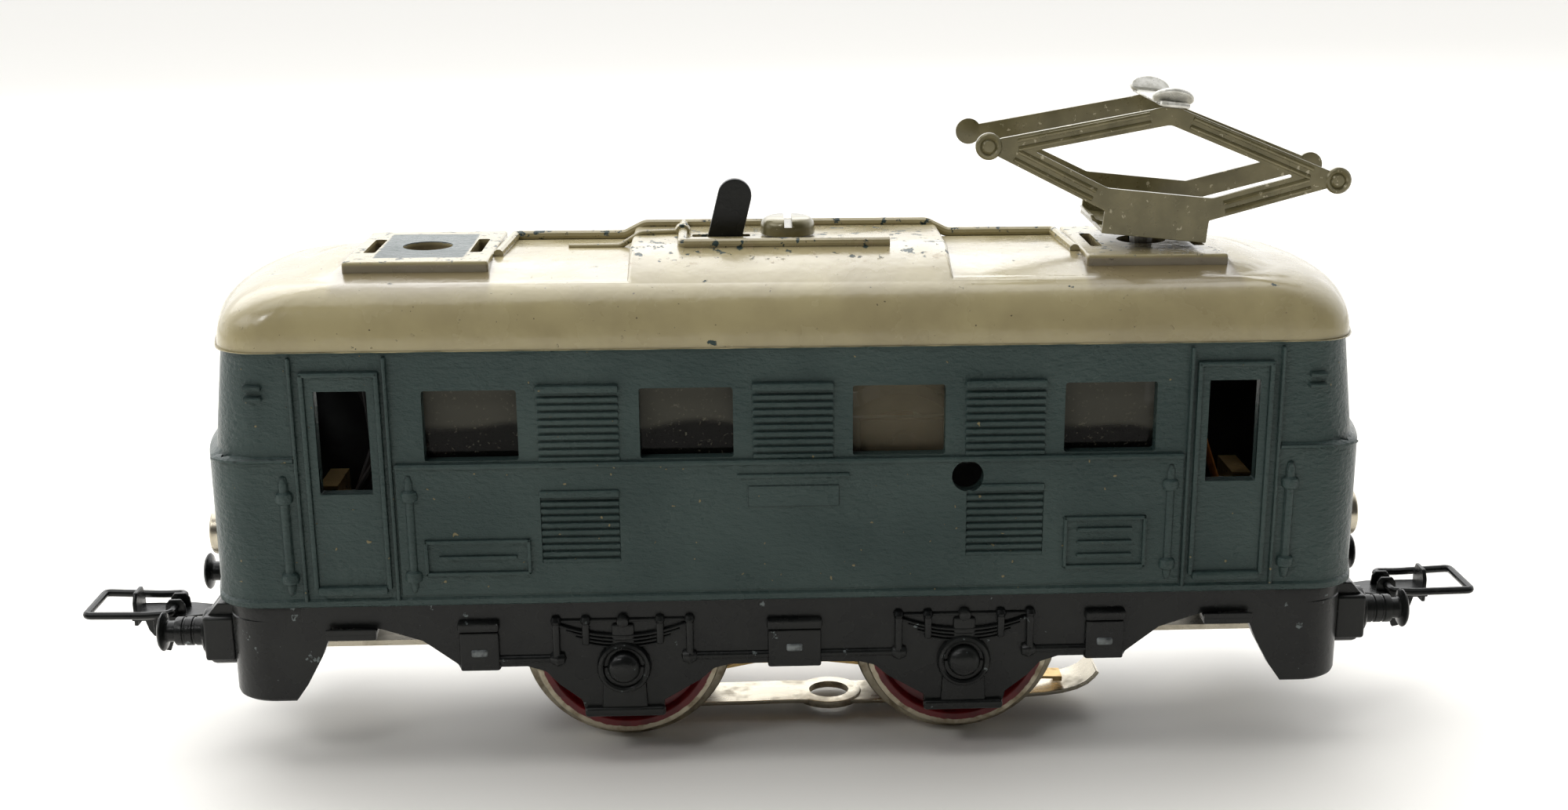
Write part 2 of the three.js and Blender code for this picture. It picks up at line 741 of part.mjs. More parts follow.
const commutator = () =>
  cut(rod([0, -4.9, 0], [0, -3.3, 0], 3.2, 18), rod([0, -9, 0], [0, 9, 0], 0.9 + FIT, 14));

// The insulated plate outside the near motor plate, with the two brush tubes.
function brushPlate() {
  const tube = (dz) => rod([ARMATURE_X, -8.6, ARMATURE_Z + dz], [ARMATURE_X, -7.0, ARMATURE_Z + dz], 1.3, 12);
  return cut(
    join(
      box(ARMATURE_X - 4.5, ARMATURE_X + 4.5, -7.5, -6.7, ARMATURE_Z - 6, ARMATURE_Z + 6),
      tube(-3.6),
      tube(3.6),
    ),
    rod([ARMATURE_X, -9, ARMATURE_Z], [ARMATURE_X, -6, ARMATURE_Z], 1.3, 14),
  );
}

// ---------------------------------------------------------------- wheels
function wheel(side) {
  const profile = [
    [AXLE_RADIUS + FIT, WHEEL_BACK],
    [10.6, WHEEL_BACK],
    [FLANGE_RADIUS, 7.3],
    [FLANGE_RADIUS, 7.7],
    [TREAD_RADIUS + 0.1, 8.1],
    [TREAD_RADIUS, 9.7],
    [8.55, 9.7],
    [8.35, 8.6],
    [3.4, 8.4],
    [3.0, 9.9],
    [AXLE_RADIUS + FIT, 9.9],
    [AXLE_RADIUS + FIT, WHEEL_BACK],
  ];
  return turned(profile.map(([r, y]) => [r, side * y]), 28);
}

// ---------------------------------------------------------------- pickup
const SHOE_HALF_WIDTH = 2.75;
// The shoe's profile from its short front end to its long rear end, as [x, z of its top face].
const SHOE_LINE = [
  [-21.9, 4.0],
  [-21.4, 3.0],
  [-20.0, 2.0],
  [-17.0, 1.45],
  [-10, 1.2],
  [0, 1.3],
  [10, 1.1],
  [20, 1.2],
  [28, 1.5],
  [31.5, 2.1],
  [33.2, 3.1],
  [33.9, 4.0],
];
const SPRING_LINE = [
  [-18.2, 2.9],
  [-12, 3.9],
  [-4, 5.4],
  [4, 5.4],
  [12, 4.4],
  [22, 3.0],
  [30.2, 2.75],
];

const bentStrip = (line, thickness, y0, y1) =>
  prismY([...line.map(([x, z]) => [x, z - thickness]), ...[...line].reverse()], y0, y1);

const pickupShoe = () =>
  cut(
    join(
      bentStrip(SHOE_LINE, 0.6, -SHOE_HALF_WIDTH, SHOE_HALF_WIDTH),
      rod([4.2, 0, 0.62], [4.2, 0, 1.22], 3.6, 20),
    ),
    rod([4.2, 0, -1], [4.2, 0, 3], 2.2, 20),
  );

const pickupSpring = () =>
  join(
    bentStrip(SPRING_LINE, 0.3, -1.2, 1.2),
    box(29.2, 30.2, -1.2, 1.2, 2.2, 2.6),
    box(-18.2, -17.2, -1.2, 1.2, 1.95, 2.75),
  );

// ---------------------------------------------------------------- couplers
// The nickel bracket under the floor, with the stud that the coupler swings on.
const couplerPlate = (s) =>
  join(
    endBox(s, 38, 53.4, -2.6, 2.6, 8.6, 9.2),
    endBox(s, 38, 38.6, -2.6, 2.6, 8.6, FLOOR_BOTTOM - GAP),
    rod([s * COUPLER_PIVOT_X, 0, 9.0], [s * COUPLER_PIVOT_X, 0, FLOOR_BOTTOM - GAP], 1.2, 12),
  );

// A flat drawbar that ends in an upright hook plate and two uncoupling flaps.
function couplerArm(s) {
  const half = [
    [54, 2.4],
    [57, 1.8],
    [63, 1.6],
    [65, 2.2],
    [70.6, 2.2],
  ];
  const outline = [
    ...half.map(([x, y]) => [s * x, y]),
    ...[...half].reverse().map(([x, y]) => [s * x, -y]),
  ];
  const [z0, z1] = [COUPLER_Z - 0.3, COUPLER_Z + 0.3];
  const pivot = [s * COUPLER_PIVOT_X, 0];
  const flap = (x0, y) =>
    prismY(
      [[x0, z1], [x0 + 2.4, z1], [x0 + 2.0, 9.4], [x0 + 0.7, 8.3]].map(([x, z]) => [s * x, z]),
      y - SHEET / 2,
      y + SHEET / 2,
    );
  const lug = cut(
    join(
      rod([s * BAIL_PIVOT_X, -0.9, BAIL_PIVOT_Z], [s * BAIL_PIVOT_X, 0.9, BAIL_PIVOT_Z], 1.0, 12),
      endBox(s, BAIL_PIVOT_X - 1.0, BAIL_PIVOT_X + 1.0, -0.9, 0.9, z0, BAIL_PIVOT_Z),
    ),
    rod([s * BAIL_PIVOT_X, -3, BAIL_PIVOT_Z], [s * BAIL_PIVOT_X, 3, BAIL_PIVOT_Z], 0.42 + RUNNING, 8),
  );
  return cut(
    join(
      prismZ(outline, z0, z1),
      rod([...pivot, z0], [...pivot, z1], 2.8, 18),
      endBox(s, 70.1, 70.6, -1.7, 1.7, 11.0, 14.7),
      flap(66.0, -2.0),
      flap(68.2, 2.0),
      lug,
    ),
    rod([...pivot, 5], [...pivot, 20], 1.2 + RUNNING, 12),
  );
}

// A wire loop that drops over the other hook. It is drawn round its pivot rod.
function couplerBail(s) {
  const reach = 75.3 - BAIL_PIVOT_X - 0.42;
  const side = (y) => y * 3.5;
  const path = [
    [0, side(-0.85), 0],
    [2.5, side(-0.92), -0.1],
    [reach - 1.4, side(-1), 0.1],
    [reach, side(-0.62), 0.15],
    [reach, side(0.62), 0.15],
    [reach - 1.4, side(1), 0.1],
    [2.5, side(0.92), -0.1],
    [0, side(0.85), 0],
  ].map(([x, y, z]) => [s * x, y, z]);
  return join(wire(path, 0.42, 22, 0.25), rod([0, side(-0.9), 0], [0, side(0.9), 0], 0.42, 8));
}

// ---------------------------------------------------------------- roof fittings
const roofScrew = () =>
  cut(
    turnedZ([[0, 43.6], [1.05, 43.6], [1.05, 52.75], [2.8, 52.75], [2.8, 54.1], [2.45, 54.5], [0, 54.5]], 18),
    box(-0.4, 0.4, -4, 4, 53.7, 55),
  );

const screwPillar = () =>
  cut(
    join(box(-3, 3, -6.4, 4.4, 34.7, 36.2), rod([0, 0, 35.5], [0, 0, 49.4], 2.0, 14)),
    rod([0, 0, 42.5], [0, 0, 52], 1.05 + FIT, 12),
  );

function changeoverLever() {
  const halfWidth = 1.75;
  const blade = new THREE.Shape();
  blade.moveTo(-halfWidth, -2.2);
  blade.lineTo(halfWidth, -2.2);
  blade.lineTo(halfWidth, 11.0);
  blade.absarc(0, 11.0, halfWidth, 0, Math.PI);
  return join(prismY(blade, -0.45, 0.45), rod([0, -0.9, 0], [0, 2.7, 0], 0.8, 12));
}

const contactBase = () =>
  cut(
    box(-14, -2.3, 0.9, 1.9, 39.5, 49.3),
    rod([LEVER_PIVOT[0], -2, LEVER_PIVOT[1]], [LEVER_PIVOT[0], 4, LEVER_PIVOT[1]], 0.8 + RUNNING, 12),
  );

const contactStrip = () =>
  prismY([[-13, 40.2], [9.3, 40.2], [9.3, 36.3], [11.0, 36.3], [11.0, 42.0], [-13, 42.0]], 3.0, 3.4);

const leadWire = () =>
  wire(
    [
      [12.6, 3.7, 35.4],
      [12.8, 3.0, 38],
      [12.4, 2.8, 41.5],
      [10, 4.6, 44],
      [2, 5.6, 45],
      [-6, 5.6, 44],
      [-11, 4.4, 42.5],
    ],
    0.4,
    24,
  );

// ---------------------------------------------------------------- pantograph
// One stamped and bent sheet: two diamond side frames, joined by a U-shaped foot.
const PANTOGRAPH_TILT = THREE.MathUtils.degToRad(5.9);
const PANTOGRAPH_PIVOT = [PAD_X, 52.9];
const KNEE_REACH = 17.95;

// The diamond is drawn level, round the foot's pivot, and then tilted.
function pantographSide() {
  const kneeZ = 7.6;
  const apexZ = 13.2;
  const footZ = 4.6;
  const outer = [
    [-KNEE_REACH + 1, kneeZ + 0.9],
    [-0.8, apexZ],
    [0.8, apexZ],
    [KNEE_REACH - 1, kneeZ + 0.9],
    [KNEE_REACH - 1, kneeZ - 0.9],
    [5.4, footZ - 2.3],
    [5.4, 0],
    [-5.4, 0],
    [-5.4, footZ - 2.3],
    [-KNEE_REACH + 1, kneeZ - 0.9],
  ];
  const inner = [
    [-KNEE_REACH + 4.6, kneeZ],
    [-5.4, footZ],
    [5.4, footZ],
    [KNEE_REACH - 4.6, kneeZ],
    [0, apexZ - 1.7],
  ];
  const shape = outlineShape(outer);
  shape.holes.push(new THREE.Path(inner.map(([x, z]) => new THREE.Vector2(x, z))));
  return { shape, kneeZ };
}

function pantographFrame() {
  const { shape, kneeZ } = pantographSide();
  const frames = Object.values(SIDES).flatMap((side) => {
    const [y0, y1] = [side * PANTOGRAPH_Y - SHEET / 2, side * PANTOGRAPH_Y + SHEET / 2];
    return [
      prismY(shape, y0, y1),
      ...Object.values(ENDS).map((s) => prismY(circle(s * KNEE_REACH, kneeZ, 1.3), y0, y1)),
    ];
  });
  const foot = cut(
    box(-5.4, 5.4, -PANTOGRAPH_Y, PANTOGRAPH_Y, 0, SHEET),
    rod([0, 0, -2], [0, 0, 2], 1.5, 14),
  );
  return join(frames, foot);
}

// The contact head: a cross strip over both side frames with a curled ear at each end.
function pantographHead() {
  const [z0, z1] = [13.4, 13.8];
  const ear = (side) => {
    const y = side * 5.9;
    const curl = new THREE.Shape();
    curl.moveTo(-1.35, z0);
    curl.lineTo(1.35, z0);
    curl.absarc(0, z1 + 0.2, 1.35, 0, Math.PI);
    return [prismY(curl, y - 0.3, y + 0.3), box(-1.5, 1.5, y - 1.4, y + 1.4, z0, z1)];
  };
  return join(box(-1.5, 1.5, -7.0, 7.0, z0, z1), Object.values(SIDES).flatMap(ear));
}

const pantographRivet = () =>
  turnedZ(
    [
      [0, 49.0],
      [2.2, 49.0],
      [2.2, 49.6],
      [1.2, 49.6],
      [1.2, 53.9],
      [2.2, 53.9],
      [2.2, 54.4],
      [1.2, 54.9],
      [0, 55.0],
    ],
    16,
  );

// ---------------------------------------------------------------- reversing relay
const RELAY_X = -39.2;
const relayFrame = () =>
  join(
    box(-43.8, -33.4, -4, 4, FLOOR_TOP + GAP, 18.9),
    box(-34.6, -33.4, -4, 4, 18.5, 31.0),
    box(-34.6, -33.4, 3.0, 4.0, 30.5, 33.0),
    box(-34.6, -33.4, -4.0, -3.0, 30.5, 33.0),
    rod([RELAY_X, 0, 18.8], [RELAY_X, 0, 29.8], 1.2, 12),
  );
const relayCoil = () =>
  cut(
    join(
      rod([RELAY_X, 0, 19.2], [RELAY_X, 0, 20.0], 4.0, 16),
      rod([RELAY_X, 0, 19.6], [RELAY_X, 0, 29.0], 3.4, 16),
      rod([RELAY_X, 0, 28.6], [RELAY_X, 0, 29.4], 4.0, 16),
    ),
    rod([RELAY_X, 0, 10], [RELAY_X, 0, 40], 1.2 + FIT, 12),
  );
const relayArmature = () => box(-43.6, -33.6, -2.7, 2.7, 31.5, 32.3);

// ---------------------------------------------------------------- the assembly
const locomotive = new THREE.Group();
locomotive.name = "locomotive";

function piece(name, made, material, position = [0, 0, 0], parent = locomotive) {
  const mesh = new THREE.Mesh(geometryOf(made), material);
  mesh.name = name;
  mesh.position.set(...position);
  parent.add(mesh);
  return mesh;
}

function group(position, parent = locomotive) {
  const made = new THREE.Group();
  made.position.set(...position);
  parent.add(made);
  return made;
}

piece("body_shell", bodyShell(), paintedShell);
piece("chassis_frame", chassisFrame(), blackCasting);

const stripY = SHELL_HALF_WIDTH - WALL - GAP;
for (const [sideName, side] of Object.entries(SIDES)) {
  const strip = box(-38, 38, -0.15, 0.15, 31.6, 41.8);
  piece("window_strip_" + sideName, strip, clearSheet, [0, side * (stripY - 0.15), 0]);
}

for (const [endName, s] of Object.entries(ENDS)) {
  for (const [sideName, side] of Object.entries(SIDES)) {
    const where = endName + "_" + sideName;
    const lampAt = [s * (SHELL_HALF_LENGTH - 0.7), side * HEADLAMP_Y, HEADLAMP_Z];
    piece("buffer_" + where, buffer(s), blackCasting, [s * BUFFER_X, side * BUFFER_Y, BUFFER_Z]);
    piece("headlamp_ring_" + where, headlampRing(s), nickel, lampAt);
    piece("headlamp_lens_" + where, headlampLens(s), lensGlass, lampAt);
  }
  const bulbAt = [s * 48.5, 0, 23.5];
  piece("lamp_socket_" + endName, lampSocket(s), brass, bulbAt);
  piece("lamp_bulb_" + endName, lampBulb(s), lensGlass, bulbAt);

  piece("coupler_plate_" + endName, couplerPlate(s), nickel);
  piece("coupler_arm_" + endName, couplerArm(s), blackSheet);
  piece("coupler_bail_" + endName, couplerBail(s), blackSheet, [
    s * BAIL_PIVOT_X,
    0,
    BAIL_PIVOT_Z,
  ]);
}

piece("roof_screw", roofScrew(), oliveSheet);
piece("screw_pillar", screwPillar(), steel);
piece("gear_side_plate", motorPlate(3.4, 4.4), steel);
piece("brush_side_plate", motorPlate(-6.4, -5.4), steel);
piece("field_magnet", fieldMagnet(), steel);
piece("field_coil", fieldCoil(), copper);
piece("idler_pin", rod([0, 3.1, IDLER_Z], [0, 6.7, IDLER_Z], 1.2, 14), steel);
piece("brush_plate", brushPlate(), board);

const armatureGroup = group([ARMATURE_X, 0, ARMATURE_Z]);
const idlerToArmature = ARMATURE_ANGLE;
const pinionPhase = meshPhase(IDLER_TEETH, 0, idlerToArmature, PINION_TEETH);
const pinion = gear(PINION_TEETH, pinionPhase, 0.9 + FIT);
piece("armature", armature(), copper, [0, 0, 0], armatureGroup);
piece("commutator", commutator(), copper, [0, 0, 0], armatureGroup);
piece("armature_pinion", pinion, brass, [0, 0, 0], armatureGroup);
piece("idler_gear", gear(IDLER_TEETH, 0, 1.2 + RUNNING), brass, [0, 0, IDLER_Z]);

for (const [endName, s] of Object.entries(ENDS)) {
  const wheelset = group([s * AXLE_X, 0, AXLE_Z]);
  const line = Math.atan2(-idlerRise, s * AXLE_X);
  const phase = meshPhase(IDLER_TEETH, 0, line, AXLE_TEETH);
  const gearMade = gear(AXLE_TEETH, phase, AXLE_RADIUS + FIT);
  piece("axle_" + endName, rod([0, -9.7, 0], [0, 9.7, 0], AXLE_RADIUS, 14), steel, [0, 0, 0], wheelset);
  piece("axle_gear_" + endName, gearMade, brass, [0, 0, 0], wheelset);
  for (const [sideName, side] of Object.entries(SIDES))
    piece("wheel_" + endName + "_" + sideName, wheel(side), redWheel, [0, 0, 0], wheelset);
}

// The boss stays clear of the spring when the shoe is pushed right up.
const pickupCarrier = join(box(-14, 14, -3, 3, 7.0, 7.9), rod([0, 0, 6.8], [0, 0, 7.5], 1.2, 12));
piece("pickup_carrier", pickupCarrier, board);
piece("pickup_shoe", pickupShoe(), nickel);
piece("pickup_spring", pickupSpring(), brass);

const lever = piece("changeover_lever", changeoverLever(), blackSheet, [LEVER_PIVOT[0], 0, LEVER_PIVOT[1]]);
lever.rotation.y = LEVER_LEAN;
piece("contact_base", contactBase(), board);
piece("contact_strip", contactStrip(), brass);
piece("lead_wire", leadWire(), wireCover);

const pantograph = group([PANTOGRAPH_PIVOT[0], 0, PANTOGRAPH_PIVOT[1]]);
pantograph.rotation.y = PANTOGRAPH_TILT;
piece("pantograph_frame", pantographFrame(), oliveSheet, [0, 0, 0], pantograph);
piece("pantograph_head", pantographHead(), nickel, [0, 0, 0], pantograph);
piece("pantograph_rivet", pantographRivet(), steel, [PAD_X, 0, 0]);

piece("relay_frame", relayFrame(), steel);
piece("relay_coil", relayCoil(), copper);
piece("relay_armature", relayArmature(), steel);

export default locomotive;
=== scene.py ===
# %% [markdown]
# # A toy electric locomotive
# This lesson dresses a working model of a small die-cast electric locomotive. The mechanical
# model already exists as a fixed frame of bodies and joints. Here each visible part gets a finely
# made mesh and a procedural paint or metal, and rides on the body it belongs to.

# %% Load the frame
import json
import math

import bmesh
import bpy
from mathutils import Matrix, Vector

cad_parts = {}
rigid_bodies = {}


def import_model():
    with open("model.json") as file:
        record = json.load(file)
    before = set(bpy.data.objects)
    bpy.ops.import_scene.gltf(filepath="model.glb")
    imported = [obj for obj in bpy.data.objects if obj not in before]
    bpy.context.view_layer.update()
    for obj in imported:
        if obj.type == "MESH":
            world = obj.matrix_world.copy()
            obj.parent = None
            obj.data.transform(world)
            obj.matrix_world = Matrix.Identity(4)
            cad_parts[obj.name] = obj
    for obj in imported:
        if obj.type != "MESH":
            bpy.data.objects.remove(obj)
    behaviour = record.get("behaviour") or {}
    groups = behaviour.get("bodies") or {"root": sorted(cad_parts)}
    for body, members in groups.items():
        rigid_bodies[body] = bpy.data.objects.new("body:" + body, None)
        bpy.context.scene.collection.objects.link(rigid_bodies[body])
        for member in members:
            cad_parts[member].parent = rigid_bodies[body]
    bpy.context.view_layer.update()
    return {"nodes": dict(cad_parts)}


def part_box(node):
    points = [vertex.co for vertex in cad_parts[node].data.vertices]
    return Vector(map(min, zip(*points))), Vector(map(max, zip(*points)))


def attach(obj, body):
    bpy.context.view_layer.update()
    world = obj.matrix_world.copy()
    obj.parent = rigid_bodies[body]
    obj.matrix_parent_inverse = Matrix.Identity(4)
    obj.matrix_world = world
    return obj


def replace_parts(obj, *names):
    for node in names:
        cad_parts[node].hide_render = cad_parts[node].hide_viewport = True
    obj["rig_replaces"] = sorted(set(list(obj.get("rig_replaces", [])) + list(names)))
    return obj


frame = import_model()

# %% [markdown]
# ## Sizes
# Modelling in millimetres keeps the numbers readable, so every mesh is built in millimetres and
# scaled to metres when it is finished. Places are read from the frame wherever it has them.

# %% Measures taken from the frame
MM = 0.001
ENDS = {"front": -1, "rear": 1}
SIDES = {"near": -1, "far": 1}


def span(node):
    """The lowest and highest corner of a frame node, in millimetres."""
    low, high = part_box(node)
    return low / MM, high / MM


def middle(node):
    low, high = span(node)
    return (low + high) / 2


shell_low, shell_high = span("body_shell")
SHELL_LENGTH = shell_high.x - 0.5  # half length at the waist, without the belt bead
SHELL_WIDTH = 15.5  # half width of the side walls
SHELL_BOTTOM = shell_low.z
WALL = 1.4  # thickness of the casting
BELT = SHELL_BOTTOM + 15.7  # height of the bead round the ends
GUTTER = SHELL_BOTTOM + 26.5
ROOF_EDGE = SHELL_BOTTOM + 32.5
DECK = SHELL_BOTTOM + 33.6
RAISED_DECK = SHELL_BOTTOM + 34.8
PAD_TOP = SHELL_BOTTOM + 34.0  # the two pantograph seats
PAD_X = middle("pantograph_rivet").x
FRAME_SIDE = 15.0  # half width of the underframe
FLOOR_TOP = span("chassis_frame")[1].z
AXLE_X = middle("axle_rear").x
AXLE_Z = middle("axle_rear").z
print("shell half length %.1f mm, axles at +-%.1f mm" % (SHELL_LENGTH, AXLE_X))

# %% [markdown]
# ## Shaping helpers
# Almost every part is a box, a flat outline pushed into a prism, a turned profile or a bent wire.
# One short helper makes each of these with a bmesh operator, rounds its edges, and leaves it in
# the mesh that is being built.


# %% Boxes, prisms and turned profiles
def between(side, a, b):
    """Two distances out from the middle, as a low and a high value on one side."""
    return tuple(sorted((side * a, side * b)))


def soften(bm, verts, width, segments=2):
    """Rounds every edge of the shape that was just added."""
    if width <= 0:
        return
    edges = list({e for v in verts for e in v.link_edges if e.calc_face_angle(0) > 0.35})
    bmesh.ops.bevel(
        bm,
        geom=edges,
        offset=width,
        offset_type="OFFSET",
        segments=segments,
        profile=0.5,
        affect="EDGES",
        clamp_overlap=True,
        material=-1,
    )


def slab(bm, x, y, z, bevel=0.0, segments=2):
    """A box between two values on each axis."""
    verts = bmesh.ops.create_cube(bm, size=1.0)["verts"]
    size = (abs(x[1] - x[0]), abs(y[1] - y[0]), abs(z[1] - z[0]))
    centre = Vector((x[0] + x[1], y[0] + y[1], z[0] + z[1])) / 2
    bmesh.ops.scale(bm, vec=size, verts=verts)
    bmesh.ops.translate(bm, vec=centre, verts=verts)
    soften(bm, verts, bevel, segments)


def place(axis, a, b, along):
    """A point of an outline that lies across one axis."""
    return {"x": (along, a, b), "y": (a, along, b), "z": (a, b, along)}[axis]


def prism(bm, outline, axis, low, high, bevel=0.0, segments=2):
    """An outline in the two other axes, pushed along one axis."""
    verts = [bm.verts.new(place(axis, a, b, low)) for a, b in outline]
    edges = [bm.edges.new((verts[i - 1], verts[i])) for i in range(len(verts))]
    face = bmesh.ops.edgeloop_fill(bm, edges=edges)["faces"][0]
    pushed = bmesh.ops.extrude_face_region(bm, geom=[face])["geom"]
    moved = [g for g in pushed if isinstance(g, bmesh.types.BMVert)]
    bmesh.ops.translate(bm, vec=place(axis, 0, 0, high - low), verts=moved)
    faces = list({f for v in verts + moved for f in v.link_faces})
    bmesh.ops.recalc_face_normals(bm, faces=faces)
    soften(bm, verts + moved, bevel, segments)


AXES = {"x": Vector((1, 0, 0)), "y": Vector((0, 1, 0)), "z": Vector((0, 0, 1))}


def spun(bm, profile, axis, centre, steps=32, flip=1):
    """A profile of (radius, distance along the axis), turned round the axis."""
    arm = AXES["z"] if axis != "z" else AXES["x"]
    centre = Vector(centre)
    verts = [bm.verts.new(centre + arm * r + AXES[axis] * (h * flip)) for r, h in profile]
    edges = [bm.edges.new(pair) for pair in zip(verts, verts[1:])]
    before = set(bm.verts) - set(verts)
    bmesh.ops.spin(
        bm,
        geom=verts + edges,
        cent=centre,
        axis=AXES[axis],
        angle=2 * math.pi,
        steps=steps,
        use_merge=True,
    )
    made = [v for v in bm.verts if v not in before]
    bmesh.ops.remove_doubles(bm, verts=made, dist=1e-4)
    made = [v for v in bm.verts if v not in before]
    faces = list({f for v in made for f in v.link_faces})
    bmesh.ops.recalc_face_normals(bm, faces=faces)


def disc(bm, axis, centre, radius, height, bevel=0.1, flip=1, steps=28):
    """A short turned boss whose outer rim is rounded."""
    rim = [(radius - bevel, height), (radius - 0.3 * bevel, height - 0.3 * bevel)]
    profile = [(0, height), *rim, (radius, height - bevel), (radius, 0), (0, 0)]
    spun(bm, profile, axis, centre, steps, flip)


# %% Bent wires
def wire(bm, points, radius, elbow=1.0, closed=False, rings=3):
    """A round wire through corner points, with each corner bent to a short curve."""
    curve = bpy.data.curves.new("wire", "CURVE")
    curve.dimensions = "3D"
    curve.bevel_depth = radius
    curve.bevel_resolution = rings
    curve.use_fill_caps = not closed
    corners = [Vector(p) for p in points]
    count = len(corners)
    path = []
    for i, corner in enumerate(corners):
        if not closed and i in (0, count - 1):
            path.append(corner)
            continue
        for target in (corners[i - 1], corner, corners[(i + 1) % count]):
            step = target - corner
            path.append(corner + step.normalized() * min(elbow, 0.49 * step.length))
    spline = curve.splines.new("NURBS")
    spline.points.add(len(path) - 1)
    for point, spot in zip(spline.points, path):
        point.co = (*spot, 1.0)
    spline.order_u = 3
    spline.use_endpoint_u = not closed
    spline.use_cyclic_u = closed
    spline.resolution_u = 5
    holder = bpy.data.objects.new("wire", curve)
    bpy.context.scene.collection.objects.link(holder)
    evaluated = holder.evaluated_get(bpy.context.evaluated_depsgraph_get())
    mesh = bpy.data.meshes.new_from_object(evaluated)
    bm.from_mesh(mesh)
    bpy.data.objects.remove(holder)
    bpy.data.curves.remove(curve)
    bpy.data.meshes.remove(mesh)


# %% [markdown]
# ## Finishing a piece
# A finished mesh is scaled to metres, its flat faces are kept flat and its rounds smooth, and it
# is tied to the body that carries it. A cutter is a piece that is never finished: it is taken
# away from another with an exact boolean and then thrown away.


# %% Turn a bmesh into a piece
def to_object(name, bm, *materials):
    bmesh.ops.remove_doubles(bm, verts=bm.verts, dist=1e-4)
    mesh = bpy.data.meshes.new(name)
    bm.to_mesh(mesh)
    bm.free()
    made = bpy.data.objects.new(name, mesh)
    bpy.context.scene.collection.objects.link(made)
    for material in materials:
        mesh.materials.append(material)
    return made


def shaped(shape, *measures):
    """A loose object made by one shaping helper, to be cut away or joined on."""
    bm = bmesh.new()
    shape(bm, *measures)
    return to_object(shape.__name__, bm)


def carve(target, tool, operation="DIFFERENCE"):
    """Cuts tool out of target, or joins it, and removes the tool."""
    change = target.modifiers.new("carve", "BOOLEAN")
    change.operation = operation
    change.solver = "EXACT"
    change.use_self = True
    change.object = tool
    evaluated = target.evaluated_get(bpy.context.evaluated_depsgraph_get())
    mesh = bpy.data.meshes.new_from_object(evaluated)
    target.modifiers.clear()
    target.data = mesh
    bpy.data.objects.remove(tool)


def piece(made, body, material, replaces=(), crease=32):
    """Ties a finished object, or a name and a bmesh, still in millimetres, to its body."""
    if isinstance(made, tuple):
        made = to_object(*made)
    made.data.transform(Matrix.Scale(MM, 4))
    if not made.data.materials:
        made.data.materials.append(material)
    made.data.shade_smooth()
    made.data.set_sharp_from_angle(angle=math.radians(crease))
    flat = made.modifiers.new("flat_faces_stay_flat", "WEIGHTED_NORMAL")
    flat.keep_sharp = True
    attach(made, body)
    if replaces:
        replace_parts(made, *replaces)
    return made


# %% [markdown]
# ## Shader sums
# A paint is easiest to read as a sum of masks. The class below wraps one shader socket, and each
# operator adds the Math node that it stands for, so that 1 - mask or a * b can be written as in
# ordinary code.


# %% Shader expressions
class Socket:
    """One value inside a material, which adds and multiplies as a number does."""

    def __init__(self, tree, socket):
        self.tree = tree
        self.socket = socket

    def maths(self, operation, *others):
        node = self.tree.nodes.new("ShaderNodeMath")
        node.operation = operation
        for inlet, value in zip(node.inputs, others):
            if isinstance(value, Socket):
                self.tree.links.new(value.socket, inlet)
            else:
                inlet.default_value = value
        return Socket(self.tree, node.outputs[0])

    def __add__(self, other):
        return self.maths("ADD", self, other)

    __radd__ = __add__

    def __mul__(self, other):
        return self.maths("MULTIPLY", self, other)

    __rmul__ = __mul__

    def __sub__(self, other):
        return self.maths("SUBTRACT", self, other)

    def __rsub__(self, other):
        return self.maths("SUBTRACT", other, self)

    def __abs__(self):
        return self.maths("ABSOLUTE", self)

    def highest(self, other):
        return self.maths("MAXIMUM", self, other)

    def length_with(self, other):
        return self.maths("SQRT", self * self + other * other)


